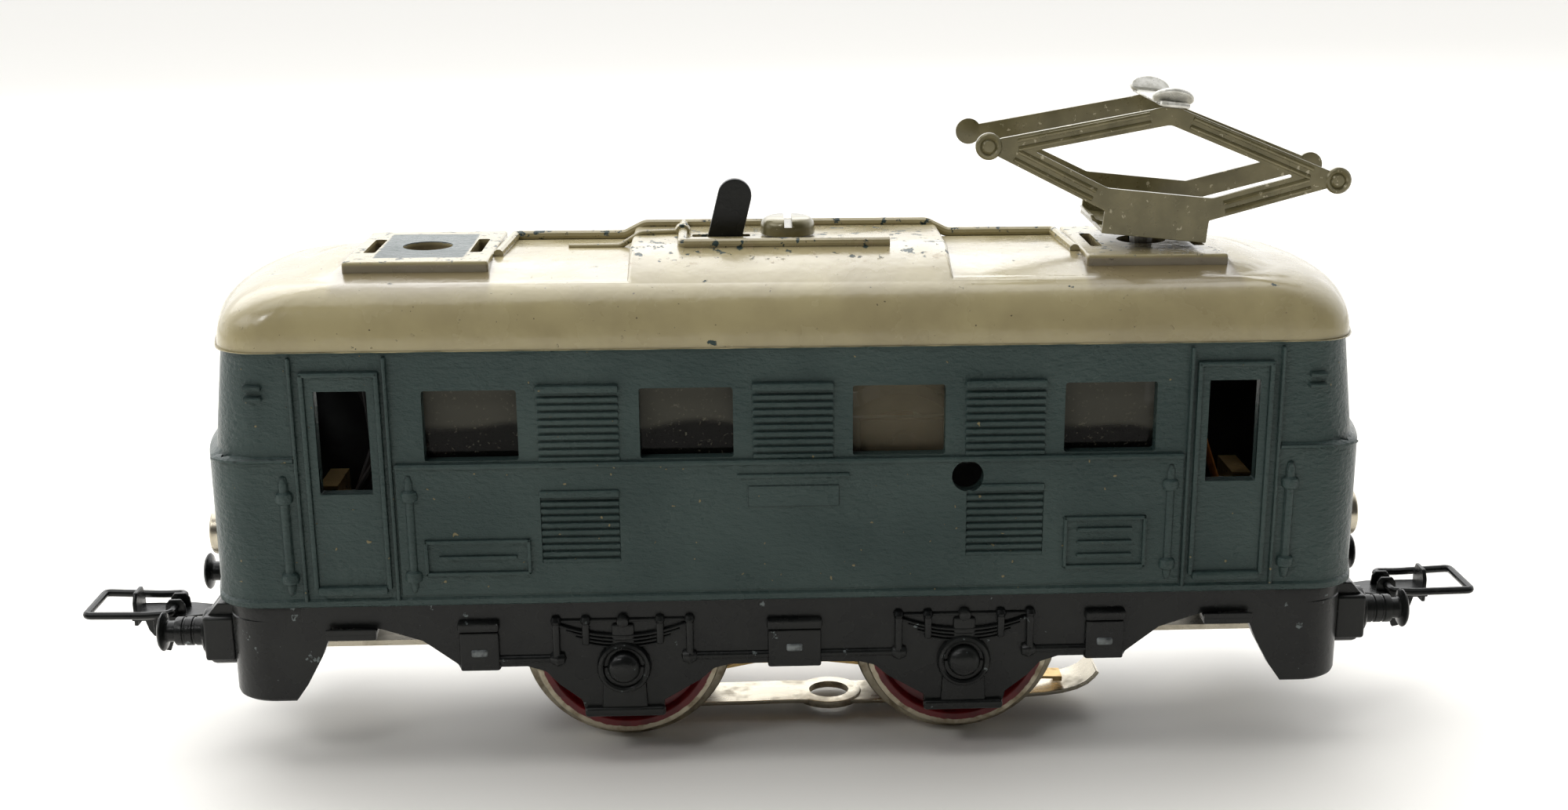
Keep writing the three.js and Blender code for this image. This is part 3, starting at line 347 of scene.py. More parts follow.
class Finish:
    """A procedural material built on the object's own coordinates."""

    def __init__(self, name):
        self.material = bpy.data.materials.new(name)
        self.material.use_nodes = True
        self.tree = self.material.node_tree
        self.shader = self.tree.nodes["Principled BSDF"]
        self.place = self.node("ShaderNodeTexCoord", output="Object")

    def node(self, kind, settings=None, inputs=None, output=0):
        """Adds any node: its settings first, then the values or links of its sockets."""
        node = self.tree.nodes.new(kind)
        for key, value in (settings or {}).items():
            setattr(node, key, value)
        for key, value in (inputs or {}).items():
            if isinstance(value, Socket):
                self.tree.links.new(value.socket, node.inputs[key])
            else:
                node.inputs[key].default_value = value
        return Socket(self.tree, node.outputs[output])

    def axes(self, centre=(0, 0, 0)):
        """The object's coordinates in millimetres, measured from a centre."""
        split = self.tree.nodes.new("ShaderNodeSeparateXYZ")
        self.tree.links.new(self.place.socket, split.inputs[0])
        outputs = [Socket(self.tree, s) for s in split.outputs]
        return [value * (1 / MM) - start for value, start in zip(outputs, centre)]

    def noise(self, size, detail=3.0, rough=0.55, stretch=(1, 1, 1)):
        """Cloudy noise whose blobs are about size millimetres across."""
        scale = tuple(1 / (size * MM * s) for s in stretch)
        mapped = self.node("ShaderNodeMapping", None, {"Vector": self.place, "Scale": scale})
        inputs = {"Vector": mapped, "Scale": 1.0, "Detail": detail, "Roughness": rough}
        return self.node("ShaderNodeTexNoise", None, inputs, "Fac")

    def ramp(self, value, low, high):
        """0 below low, 1 above high, and a soft step between them."""
        settings = {"interpolation_type": "SMOOTHSTEP"}
        inputs = {"Value": value, "From Min": low, "From Max": high}
        return self.node("ShaderNodeMapRange", settings, inputs)

    def blend(self, factor, a, b):
        """Colour a where the factor is 0, colour b where it is 1."""
        node = self.tree.nodes.new("ShaderNodeMix")
        node.data_type = "RGBA"
        for index, value in ((0, factor), (6, a), (7, b)):
            if isinstance(value, Socket):
                self.tree.links.new(value.socket, node.inputs[index])
            else:
                node.inputs[index].default_value = (*value, 1.0) if index else value
        return Socket(self.tree, node.outputs[2])

    def bumps(self, height, strength, distance=0.05):
        inputs = {"Height": height, "Strength": strength, "Distance": distance * MM}
        self.set("Normal", self.node("ShaderNodeBump", None, inputs))

    def set(self, socket, value):
        if isinstance(value, Socket):
            self.tree.links.new(value.socket, self.shader.inputs[socket])
        elif isinstance(value, tuple):
            self.shader.inputs[socket].default_value = (*value, 1.0)
        else:
            self.shader.inputs[socket].default_value = value
        return self


# %% [markdown]
# ## Two-tone shell paint
# The shell is sprayed slate blue, and its roof is masked and sprayed with a glossy khaki cream.
# The blue has a fine dry-spray crinkle; the cream is smooth, and chips along its edges show the
# blue beneath. Both come from one material that splits at the height of the gutter, because the
# shell is one casting.

# %% Paints
SLATE = (0.028, 0.048, 0.045)
SLATE_LIGHT = (0.043, 0.067, 0.062)
CREAM = (0.365, 0.312, 0.168)
CREAM_DARK = (0.295, 0.248, 0.134)
DUST = (0.30, 0.22, 0.12)
# Near-black blue used as painted shade beside the raised detail.
CORNER_PAINTED_SHADE = (0.007, 0.012, 0.012)


def slate_blue(f, y, z, specks):
    """Cloudy blue with a few dusty specks, darkened with painted shade in the corners beside the
    raised detail.
    """
    blue = f.blend(f.ramp(f.noise(14.0, 3.0), 0.3, 0.7), SLATE, SLATE_LIGHT)
    relief = abs(y) - SHELL_WIDTH
    # A thin band just off the wall beside each raised piece is darkened with painted shade.
    beside = f.ramp(relief, 0.24, 0.27) * f.ramp(relief, 0.36, 0.31)
    blue = f.blend(beside * f.ramp(z, GUTTER - 1, GUTTER - 2) * 0.65, blue, CORNER_PAINTED_SHADE)
    return f.blend(specks, blue, (0.20, 0.17, 0.09))


def khaki_cream(f, x, z, grime):
    """Glossy cream with brown dirt on the deck, against the seats, and in small dots."""
    cream = f.blend(f.ramp(f.noise(9.0, 4.0), 0.35, 0.7), CREAM, CREAM_DARK)
    cream = f.blend(grime * 0.75, cream, DUST)
    pad_side = f.ramp(abs(abs(x) - PAD_X), 8.2, 7.3) * f.ramp(z, PAD_TOP - 0.2, PAD_TOP - 0.5)
    pad_side = pad_side * f.ramp(z, DECK - 2.6, DECK - 0.8)
    cream = f.blend(pad_side * 0.7, cream, (0.12, 0.09, 0.05))
    dots = f.ramp(f.noise(0.45, 1.0), 0.77, 0.80)
    return f.blend(dots, cream, (0.09, 0.07, 0.04))


def cream_mask(f, x, y, z):
    """Where the cream covers the blue: the roof, less the worn seat and the chips."""
    waver = f.noise(2.5, 2.0)
    roof = f.ramp(z + waver * 0.2, GUTTER + 0.02, GUTTER + 0.14)
    pad = f.ramp(abs(x + PAD_X) + waver * 0.6, 5.0, 4.7) * f.ramp(abs(y) + waver * 0.9, 7.4, 7.0)
    bare_pad = pad * f.ramp(z, PAD_TOP - 0.12, PAD_TOP - 0.06)
    chips = f.ramp(f.noise(2.1, 5.0, 0.62), 0.700, 0.706)
    edge_chips = f.ramp(f.noise(1.1, 4.0, 0.6), 0.60, 0.62) * f.ramp(z, PAD_TOP - 0.3, PAD_TOP)
    return roof * (1 - bare_pad) * (1 - chips) * (1 - edge_chips * f.ramp(abs(y), 9.5, 8.3))


def shell_paint():
    f = Finish("shell_paint")
    x, y, z = f.axes()
    covered = cream_mask(f, x, y, z)
    specks = f.ramp(f.noise(0.7, 1.0), 0.765, 0.79)
    grime = f.ramp(f.noise(1.4, 5.0, 0.7), 0.56, 0.72) * f.ramp(z, DECK - 1.2, DECK + 0.3)
    blue = slate_blue(f, y, z, specks)
    cream = khaki_cream(f, x, z, grime)
    f.set("Base Color", f.blend(covered, blue, cream))
    smudge = f.ramp(f.noise(6.0, 4.0), 0.3, 0.75)
    f.set("Roughness", covered * (-0.06) + smudge * 0.12 + grime * 0.25 + 0.26)
    crinkle = f.noise(0.60, 4.0, 0.65, (1.6, 1, 0.8)) * (1 - covered) * 1.4
    crinkle = crinkle + f.noise(2.2, 2.0) * 0.5
    f.bumps(crinkle + specks * 0.8 + covered * 1.2, 0.9, 0.20)
    f.set("Specular IOR Level", covered * 0.25 + 0.22)
    f.set("Coat Weight", covered * 0.2 + 0.08).set("Coat Roughness", 0.12)
    return f.material


def black_paint(name="black_casting_paint", worn=1.0):
    """Satin black over grey zinc, rubbed through in small spots."""
    f = Finish(name)
    spots = f.ramp(f.noise(1.9, 5.0, 0.65), 0.665, 0.685) * worn
    haze = f.ramp(f.noise(5.0, 4.0), 0.3, 0.7)
    black = f.blend(haze, (0.006, 0.0065, 0.0065), (0.013, 0.014, 0.013))
    f.set("Base Color", f.blend(spots, black, (0.13, 0.15, 0.15)))
    f.set("Metallic", spots * 0.5)
    f.set("Roughness", haze * 0.12 + spots * 0.1 + 0.22)
    f.set("Specular IOR Level", 0.24)
    f.bumps(f.noise(0.5, 4.0, 0.6) + f.noise(2.4, 2.0) - spots * 0.4, 0.5, 0.07)
    return f.material


def metal(name, color, rough, size=0.6, tarnish=(0.2, 0.17, 0.11), amount=0.5):
    """Bare or plated metal with cloudy tarnish and fine scratches along X."""
    f = Finish(name)
    stain = f.ramp(f.noise(2.6, 5.0, 0.6), 0.48, 0.72) * amount
    f.set("Base Color", f.blend(stain, color, tarnish))
    f.set("Metallic", 1.0)
    scratch = f.noise(size, 3.0, 0.6, (8, 1, 1))
    f.set("Roughness", stain * 0.3 + scratch * 0.15 + rough)
    f.bumps(scratch, 0.25, 0.02)
    return f.material


def olive_paint():
    f = Finish("olive_pantograph_paint")
    worn = f.ramp(f.noise(0.8, 4.0, 0.6), 0.64, 0.67)
    cloud = f.ramp(f.noise(3.0, 3.0), 0.3, 0.7)
    shade = f.blend(cloud, (0.120, 0.104, 0.045), (0.185, 0.160, 0.078))
    f.set("Base Color", f.blend(worn, shade, (0.42, 0.38, 0.26)))
    f.set("Metallic", 0.3)
    f.set("Roughness", f.noise(1.2, 3.0) * 0.25 + 0.18)
    f.bumps(f.noise(0.7, 3.0), 0.35, 0.05)
    f.set("Coat Weight", 0.4).set("Coat Roughness", 0.15)
    return f.material


# %% [markdown]
# ## Wheels, glass and the parts inside
# The wheel's tread and rim are bright, and its centre is brushed with dark red paint. The border
# between them is a circle round the axle, so each axle needs a finish with its own centre.


# %% Wheel, glass and inner finishes
def wheel_paint(name, centre_x):
    f = Finish(name)
    x, y, z = f.axes((centre_x, 0, AXLE_Z))
    edge = x.length_with(z) + f.noise(0.8, 3.0) * 0.3
    bright = f.ramp(edge, 9.40, 9.50)
    hub = f.ramp(edge, 1.6, 1.5)
    red = f.blend(f.ramp(f.noise(2.0, 3.0), 0.3, 0.7), (0.10, 0.004, 0.005), (0.17, 0.007, 0.010))
    tarnish = f.ramp(f.noise(1.5, 5.0), 0.4, 0.7)
    steel_tone = f.blend(tarnish, (0.46, 0.41, 0.31), (0.22, 0.18, 0.12))
    shiny = bright.highest(hub)
    f.set("Base Color", f.blend(shiny, red, steel_tone))
    f.set("Metallic", shiny)
    f.set("Roughness", f.noise(0.9, 4.0) * 0.25 + 0.25)
    f.bumps(f.noise(0.4, 3.0), 0.3, 0.04)
    return f.material


CLEAREST_WINDOW_X = 10.5


def clear_sheet():
    """Old celluloid glazing, nearly opaque: near black below as painted shade of the unlit inside,
    lighter above, and yellow and half clear at one window.
    """
    f = Finish("clear_celluloid")
    x, y, z = f.axes()
    dust = f.ramp(f.noise(0.35, 3.0), 0.60, 0.75)
    swell = f.noise(11.0, 1.0) * 5.0
    lighter_above = f.ramp(z + swell, SHELL_BOTTOM + 20.0, SHELL_BOTTOM + 21.0)
    clear = f.ramp(abs(x - CLEAREST_WINDOW_X), 6.5, 5.5)
    # Below the wavy line the sheet is near black, painted shade of the unlit inside; above it a
    # lighter grey.
    tone = f.blend(lighter_above, (0.006, 0.006, 0.005), (0.062, 0.060, 0.048))
    tone = f.blend(clear * 0.7, tone, (0.20, 0.17, 0.11))
    f.set("Base Color", f.blend(dust * 0.6, tone, (0.13, 0.12, 0.09)))
    f.set("Roughness", dust * 0.2 + 0.06)
    f.set("Specular IOR Level", 0.08)
    f.set("Alpha", 0.92 - clear * 0.45 + dust * 0.05)
    f.material.surface_render_method = "BLENDED"
    return f.material


def lamp_glass():
    f = Finish("clear_lens")
    f.set("Base Color", (0.95, 0.95, 0.92)).set("Roughness", 0.04)
    f.set("Transmission Weight", 0.85).set("IOR", 1.48)
    f.bumps(f.noise(0.5, 2.0), 0.1, 0.02)
    return f.material


def flat_finish(name, dark, light, rough, size=1.2, metallic=0.0):
    """A plain material that is only cloudy and a little uneven."""
    f = Finish(name)
    f.set("Base Color", f.blend(f.ramp(f.noise(size, 4.0), 0.3, 0.7), dark, light))
    f.set("Metallic", metallic)
    f.set("Roughness", f.noise(size * 0.7, 3.0) * 0.2 + rough)
    f.bumps(f.noise(size * 0.4, 3.0), 0.3, 0.04)
    return f.material


def winding(name, axis):
    """Enamelled wire laid in close turns along one axis."""
    f = Finish(name)
    across = f.axes()[axis]
    turn = across.maths("SINE", across * (2 * math.pi / 0.42))
    f.set("Base Color", f.blend(f.ramp(turn, -0.9, 0.4), (0.10, 0.025, 0.008), (0.46, 0.16, 0.05)))
    f.set("Metallic", 0.6)
    f.set("Roughness", f.noise(0.8) * 0.2 + 0.28)
    f.bumps(turn, 0.8, 0.06)
    return f.material


SHELL_PAINT = shell_paint()
BLACK = black_paint()
WORN = flat_finish("worn_zinc", (0.035, 0.040, 0.042), (0.20, 0.22, 0.22), 0.35, 0.9, 0.5)
BLACK_SHEET = black_paint("black_sheet_finish", 0.35)
OLIVE = olive_paint()
NICKEL = metal("nickel_plate", (0.52, 0.475, 0.38), 0.20)
DULL_NICKEL, PALE_NICKEL = (0.50, 0.49, 0.43), (0.82, 0.81, 0.76)
HEAD_NICKEL = flat_finish("contact_head_nickel", DULL_NICKEL, PALE_NICKEL, 0.2, 0.9, 0.35)
STEEL = metal("bare_steel", (0.42, 0.41, 0.39), 0.30)
BRASS = metal("bare_brass", (0.72, 0.50, 0.20), 0.22, tarnish=(0.25, 0.13, 0.04))
# The inner walls are near black: painted shade of the unlit inside of the shell.
INNER_WALL_PAINTED_SHADE = flat_finish("inner_wall_painted_shade", (0.010, 0.011, 0.012), (0.022, 0.024, 0.024), 0.6, 3.0)
BOARD = flat_finish("pressed_board", (0.10, 0.045, 0.018), (0.17, 0.08, 0.035), 0.45)
WIRE_COVER = flat_finish("orange_wire_cover", (0.55, 0.16, 0.02), (0.70, 0.24, 0.04), 0.4)
CELLULOID = clear_sheet()
GLASS = lamp_glass()
print("finishes made:", len(bpy.data.materials))

# %% [markdown]
# ## The shell's plan
# Seen from above, the shell is a long rectangle with round corners and slightly bowed ends, and
# every level from the skirt to the roof deck has such a plan. A ring of vertices that each know
# their place in the ring can therefore be extruded upwards level by level and moved onto the next
# plan. Subdividing and sculpting a box would be quicker to start, but could not hold the bowed
# ends and the level gutter at once.

# %% Plan outline and the ring loft
BOW = math.radians(16)
BOW_STEPS = 7
CORNER_STEPS = 12
ROOF_STEPS = 14
ROOF_FULLNESS = 0.82  # 1 is a round roof edge, less is squarer


def plan(half_length, half_width, radius):
    """The points of one level, anticlockwise from the middle of the rear end."""
    corner_y = half_width - radius
    bow_end = corner_y + radius * math.sin(BOW)
    bow = bow_end * math.tan(BOW) / 2
    corner_x = half_length - bow - radius * math.cos(BOW)
    quarter = []
    for i in range(BOW_STEPS):
        y = bow_end * i / BOW_STEPS
        quarter.append((half_length - bow * (y / bow_end) ** 2, y))
    for i in range(CORNER_STEPS + 1):
        a = BOW + (math.pi / 2 - BOW) * i / CORNER_STEPS
        quarter.append((corner_x + radius * math.cos(a), corner_y + radius * math.sin(a)))
    half = (quarter + [(-x, y) for x, y in reversed(quarter)])[:-1]
    return half + [(-x, -y) for x, y in half]


def ring_loft(bm, levels):
    """Extrudes a ring through a list of (height, plan points), and closes both ends."""
    count = len(levels[0][1])
    station = bm.verts.layers.int.get("station") or bm.verts.layers.int.new("station")
    ring = bmesh.ops.create_circle(bm, segments=count, radius=1.0)["verts"]
    for i, vert in enumerate(ring):
        vert[station] = i
    bottom = list(ring)
    for number, (height, outline) in enumerate(levels):
        if number:
            edges = [e for e in {e for v in ring for e in v.link_edges} if set(e.verts) <= set(ring)]
            pushed = bmesh.ops.extrude_edge_only(bm, edges=edges)["geom"]
            ring = [g for g in pushed if isinstance(g, bmesh.types.BMVert)]
        for vert in ring:
            vert.co = (*outline[vert[station]], height)
    for loop in (bottom, ring):
        ordered = sorted(loop, key=lambda v: v[station])
        bmesh.ops.contextual_create(bm, geom=ordered)
    bmesh.ops.recalc_face_normals(bm, faces=bm.faces)


def shell_levels(inset):
    """The shell's outside, or its inside when inset is the wall's thickness."""

    def level(height, dl, dw, radius):
        outline = plan(SHELL_LENGTH + dl - inset, SHELL_WIDTH + dw - inset, radius - 0.6 * inset)
        return height, outline

    walls = [
        (SHELL_BOTTOM + 0.3 - 2 * inset, -0.3, -0.15),
        (SHELL_BOTTOM + 0.35, 0.02, 0.06),
        (SHELL_BOTTOM + 0.5, 0.18, 0.22),
        (SHELL_BOTTOM + 1.0, 0.18, 0.22),
        (SHELL_BOTTOM + 1.25, 0.0, 0.0),
        (BELT - 0.2, -0.1, 0.0),
        (BELT + 0.6, -0.9, -0.05),
        (GUTTER - 0.3, -2.1, -0.15),
        (GUTTER - 0.16, -1.95, 0.0),
        (GUTTER - 0.06, -1.62, 0.24),
        (GUTTER + 0.05, -1.6, 0.26),
    ]
    levels = [level(z, dl, dw, 5.0) for z, dl, dw in walls]
    for i in range(ROOF_STEPS + 1):
        a = (i / ROOF_STEPS) * (math.pi / 2) * 0.96
        pull = 1 - math.cos(a) ** ROOF_FULLNESS
        rise = (ROOF_EDGE - GUTTER - inset) * math.sin(a) ** ROOF_FULLNESS
        levels.append(level(GUTTER + rise, -1.75 - 9 * pull, 0.12 - 5.4 * pull, 5.4 + 1.6 * pull))
    deck = plan(SHELL_LENGTH - 13.2, 5.2 + inset, 3.5 + inset)
    levels.append((DECK - inset, deck))
    return levels


# %% [markdown]
# ## Casting the shell
# The outside is the loft joined with the raised middle of the roof and the two pantograph seats.
# The inside is taken away from it, and then everything that goes through the wall: windows, door
# lights, lamp holes, roof slots and the key hole. Exact booleans keep these edges crisp, as the
# steel mould did.

# %% Shell body and its openings
WINDOW_X = (-31.6, -10.5, 10.5, 31.6)
WINDOW_HALF = 4.6
WINDOW_Z = (SHELL_BOTTOM + 15.4, SHELL_BOTTOM + 22.5)
DOOR_LIGHT_X = (41.4, 46.5)
DOOR_LIGHT_Z = (SHELL_BOTTOM + 12.15, SHELL_BOTTOM + 22.6)
END_WINDOW_Y = (1.2, 9.4)
END_WINDOW_Z = (BELT + 2.4, GUTTER - 1.6)
UPPER_LOUVRE_X = (-21.1, 0.0, 21.1)
UPPER_LOUVRE = (4.05, 32.95, 40.65)  # half width, bottom and top
LOWER_LOUVRE_X = (-21.2, 21.2)
LOWER_LOUVRE = (3.95, 22.35, 30.0)
DOOR_TOP = 41.8
PANEL_END = 39.2  # the panels between the doors reach this far
HANDRAIL_X = (37.9, 50.1)
LAMP_Y = abs(middle("headlamp_ring_rear_far").y)
LAMP_Z = middle("headlamp_ring_rear_far").z


def roof_additions():
    bm = bmesh.new()
    half = [(5.6, RAISED_DECK), (11.5, 50.5), (12.75, 49.5), (13.3, 48.2)]
    outline = half + [(-y, z) for y, z in reversed(half)]
    prism(bm, outline, "x", -16.1, 16.1, 0.45, 3)
    raised = to_object("raised_roof", bm)
    for s in (-1, 1):
        x = (s * PAD_X - 7.2, s * PAD_X + 7.2)
        carve(raised, shaped(slab, x, (-8.76, 8.76), (ROOF_EDGE - 1.4, PAD_TOP), 0.3, 3), "UNION")
    return raised


def through_cutters():
    bm = bmesh.new()
    reach = SHELL_WIDTH + 3
    for x in WINDOW_X:
        slab(bm, (x - WINDOW_HALF, x + WINDOW_HALF), (-reach, reach), WINDOW_Z, 0.25)
    for s in (-1, 1):
        slab(bm, between(s, *DOOR_LIGHT_X), (-reach, reach), DOOR_LIGHT_Z, 0.2)
        for side in (-1, 1):
            slab(bm, between(s, 54, 63), between(side, *END_WINDOW_Y), END_WINDOW_Z, 0.6)
            disc(bm, "x", (s * 54, side * LAMP_Y, LAMP_Z), 2.6, 9, 0.05, s)
        pad_x = s * PAD_X
        disc(bm, "z", (pad_x, 0, 45), 2.55, 9, 0.05)
        for dx in (-5.35, 5.35):
            slab(bm, (pad_x + dx - 0.6, pad_x + dx + 0.6), (-3.8, 3.8), (45, 54), 0.3)
    slab(bm, (-9.9, -3.9), (-0.8, 0.8), (45, 55), 0.3)
    disc(bm, "z", (0, 0, 45), 1.3, 9, 0.05)
    return to_object("openings", bm)


def key_hole_cutter():
    return shaped(disc, "y", (17.4, -SHELL_WIDTH - 3, BELT - 2.6), 1.6, SHELL_WIDTH, 0.05)


def add_mesh(bm, made):
    bm.from_mesh(made.data)
    bpy.data.objects.remove(made)


def pocket_cutters():
    """Shallow pockets that the louvre slats stand in."""
    bm = bmesh.new()
    for side in (-1, 1):
        y = between(side, SHELL_WIDTH - 0.1, SHELL_WIDTH + 2)
        for xs, (half, low, _) in ((UPPER_LOUVRE_X, UPPER_LOUVRE), (LOWER_LOUVRE_X, LOWER_LOUVRE)):
            for x in xs:
                slab(bm, (x - half + 0.05, x + half - 0.05), y, (low + 0.05, low + 7.05), 0.12)
    return to_object("louvre_pockets", bm)


def lower_panels():
    """The panels below the waist stand a little proud of the wall."""
    bm = bmesh.new()
    for side in (-1, 1):
        y = between(side, SHELL_WIDTH - 0.6, SHELL_WIDTH + 0.22)
        slab(bm, (-PANEL_END, PANEL_END), y, (SHELL_BOTTOM + 1.5, 32.75), 0.16)
    return to_object("lower_panels", bm)


def shell_casting():
    bm = bmesh.new()
    ring_loft(bm, shell_levels(0.0))
    shell = to_object("body_shell_casting", bm, SHELL_PAINT, INNER_WALL_PAINTED_SHADE)
    carve(shell, roof_additions(), "UNION")
    carve(shell, lower_panels(), "UNION")
    bm = bmesh.new()
    ring_loft(bm, shell_levels(WALL))
    # The inner faces take the second slot, the painted shade of the inside.
    for face in bm.faces:
        face.material_index = 1
    carve(shell, to_object("inside", bm, SHELL_PAINT, INNER_WALL_PAINTED_SHADE))
    carve(shell, through_cutters())
    carve(shell, pocket_cutters())
    carve(shell, key_hole_cutter())
    return shell


casting = shell_casting()
print("shell casting:", len(casting.data.polygons), "faces")

# %% [markdown]
# ## Cast detail on the sides
# Slats, door frames, handrails, beads and blank plates were engraved in the mould, so they belong
# to the same casting. They are built once for each side and joined to the shell's mesh. Each slat
# is a thin bar tipped outwards, because a real shadow line under each slat is what makes a louvre
# read as one.


# %% Louvres, doors and rails
def louvre(bm, side, x, half, low, high, slats=9):
    """A hood with a row of tipped slats below it."""
    y = side * SHELL_WIDTH
    hood = between(side, SHELL_WIDTH - 0.6, SHELL_WIDTH + 0.5)
    slab(bm, (x - half, x + half), hood, (high - 0.75, high), 0.2)
    pitch = (high - 0.9 - low) / slats
    for i in range(slats):
        z = low + (i + 0.35) * pitch
        verts = bmesh.ops.create_cube(bm, size=1.0)["verts"]
        bmesh.ops.scale(bm, vec=(2 * half - 0.1, 0.8, 0.52), verts=verts)
        tip = Matrix.Rotation(side * math.radians(-16), 3, "X")
        bmesh.ops.rotate(bm, cent=(0, 0, 0), matrix=tip, verts=verts)
        bmesh.ops.translate(bm, vec=(x, y - side * 0.16, z), verts=verts)
        soften(bm, verts, 0.16, 2)


def door(bm, side, s):
    """The posts, frame, sill and panels of one door, which stand proud of the wall."""

    def bar(x0, x1, z0, z1, proud, bevel=0.1):
        y = between(side, SHELL_WIDTH - 0.4, SHELL_WIDTH + proud)
        slab(bm, between(s, x0, x1), y, (z0, z1), bevel)

    for x in (39.35, 48.45):
        bar(x, x + 0.42, SHELL_BOTTOM + 1.0, GUTTER - 0.5, 0.38, 0.18)
    for x0, x1 in ((40.1, 40.62), (47.3, 47.82)):
        bar(x0, x1, SHELL_BOTTOM + 2.2, 42.2, 0.42, 0.18)
    bar(40.1, 47.82, DOOR_TOP - 0.05, DOOR_TOP + 0.45, 0.42, 0.18)
    bar(40.5, 47.4, SHELL_BOTTOM + 1.7, SHELL_BOTTOM + 2.6, 0.65, 0.3)
    sill = SHELL_BOTTOM + 2.4
    bar(40.62, DOOR_LIGHT_X[0], sill, DOOR_TOP, 0.1, 0.05)
    bar(DOOR_LIGHT_X[1], 47.3, sill, DOOR_TOP, 0.1, 0.05)
    bar(41.3, 46.6, sill, DOOR_LIGHT_Z[0], 0.1, 0.05)
    bar(41.3, 46.6, DOOR_LIGHT_Z[1], DOOR_TOP, 0.1, 0.05)


def handrail(bm, side, x):
    """A turned rail with two collars and pointed ends, half sunk in the wall."""
    low, high = SHELL_BOTTOM + 1.6, SHELL_BOTTOM + 14.2
    collar_low, collar_high = SHELL_BOTTOM + 3.5, SHELL_BOTTOM + 11.9
    profile = [(0, low), (0.34, low + 0.2), (0.5, low + 0.9)]
    for z in (collar_low, collar_high):
        profile += [(0.5, z - 0.65), (0.82, z - 0.45), (0.92, z), (0.82, z + 0.45), (0.5, z + 0.65)]
    profile += [(0.5, high - 0.9), (0.34, high - 0.2), (0, high)]
    spun(bm, profile, "z", (x, side * (SHELL_WIDTH - 0.02), 0), 24)


def blank_plate(bm, side, x, z, lines=0):
    """A raised frame round a plain field, with optional plain bars."""
    ys = between(side, SHELL_WIDTH - 0.1, SHELL_WIDTH + 0.56)
    for a, b in ((x[0], x[0] + 0.35), (x[1] - 0.35, x[1])):
        slab(bm, (a, b), ys, z, 0.1)
    for a, b in ((z[0], z[0] + 0.35), (z[1] - 0.35, z[1])):
        slab(bm, x, ys, (a, b), 0.1)
    for i in range(lines):
        level = z[0] + (i + 1) * (z[1] - z[0]) / (lines + 1)
        slab(bm, (x[0] + 1.4, x[1] - 1.4), ys, (level - 0.18, level + 0.18), 0.08)


def side_detail(bm, side):
    def proud(outer, inner=SHELL_WIDTH - 0.4):
        return between(side, inner, SHELL_WIDTH + outer)

    for x in UPPER_LOUVRE_X:
        louvre(bm, side, x, *UPPER_LOUVRE)
    for x in LOWER_LOUVRE_X:
        panel = shaped(louvre, side, x, *LOWER_LOUVRE)
        if side < 0 < x:
            carve(panel, key_hole_cutter())
        add_mesh(bm, panel)
    for s in (-1, 1):
        door(bm, side, s)
        for x in HANDRAIL_X:
            handrail(bm, side, s * x)
        for z in ((39.4, 39.9), (40.5, 41.0)):
            slab(bm, between(s, 51.4, 53.2), proud(0.35), z, 0.14)
    slab(bm, (-PANEL_END, PANEL_END), proud(0.5), (32.3, 32.9), 0.24)
    blank_plate(bm, side, (-36.7, -26.2), (21.3, 25.0), 1)
    blank_plate(bm, side, (27.2, 35.6), (20.9, 26.4), 3)
    slab(bm, (-5.6, 5.6), proud(0.5, SHELL_WIDTH), (31.0, 31.4), 0.15)
    slab(bm, (-4.6, 4.6), proud(0.36, SHELL_WIDTH), (27.9, 30.2), 0.2)


# %% Belt bead round the ends, and the roof pipes
def belt_bead():
    bm = bmesh.new()
    rise = [(-0.42, -0.3), (-0.3, 0.18), (-0.1, 0.42), (0.1, 0.42), (0.35, 0.12), (0.6, -0.9)]
    ring_loft(bm, [(BELT + dz, plan(SHELL_LENGTH + dl, SHELL_WIDTH + dl, 5.2)) for dz, dl in rise])
    bead = to_object("belt_bead", bm)
    carve(bead, shaped(slab, (-48.9, 48.9), (-30, 30), (BELT - 5, BELT + 5)))
    bm = bmesh.new()
    slab(bm, (-70, 70), (-14.2, 14.2), (BELT - 5, BELT + 5))
    slab(bm, (-56, 56), (-14.9, 14.9), (BELT - 5, BELT + 5))
    carve(bead, to_object("bead_middle", bm))
    return bead


def roof_pipes(bm):
    low, high = DECK + 0.3, RAISED_DECK + 0.2
    edge = 6.2
    long_pipe = [
        (-29.4, -4.2, low - 0.1),
        (-28.8, edge, low),
        (-17.2, edge, low),
        (-15.0, edge, high),
        (15.0, edge, high),
        (17.2, edge, low),
        (28.8, edge, low),
        (29.4, -4.2, low - 0.1),
    ]
    wire(bm, long_pipe, 0.52, 0.8)
    wire(bm, [(-10.9, edge, high), (-10.8, -5.6, high), (10.2, -5.6, high)], 0.5, 0.8)
    thin = [(-22.7, 0.5, DECK + 0.08), (-17.4, 0.5, DECK + 0.08), (-15.2, 0.8, high)]
    wire(bm, [*thin, (-11.4, 1.4, high)], 0.3, 0.8)
    union = [(0, -0.6), (0.7, -0.5), (0.85, 0), (0.7, 0.5), (0, 0.6)]
    spun(bm, union, "y", (-10.9, 1.4, high + 0.1), 16)


# %% Join and finish the shell
bm = bmesh.new()
bm.from_mesh(casting.data)
for side in (-1, 1):
    side_detail(bm, side)
add_mesh(bm, belt_bead())
roof_pipes(bm)
bpy.data.objects.remove(casting)
joined = to_object("body_shell_painted", bm, SHELL_PAINT, INNER_WALL_PAINTED_SHADE)
shell = piece(joined, "locomotive", SHELL_PAINT, ["body_shell"])
print("shell:", len(shell.data.polygons), "faces")

# %% [markdown]
# ## The underframe
# The underframe is one black casting: a floor, two side frames whose lower edge dips round each
# axle box, and a skirt with a buffer beam at each end. Springs, hangers, axle boxes and brake rods
# stand proud of the side frames. The springs are real curved leaves, one above another, because
# straight bars there look like a toy of a toy.

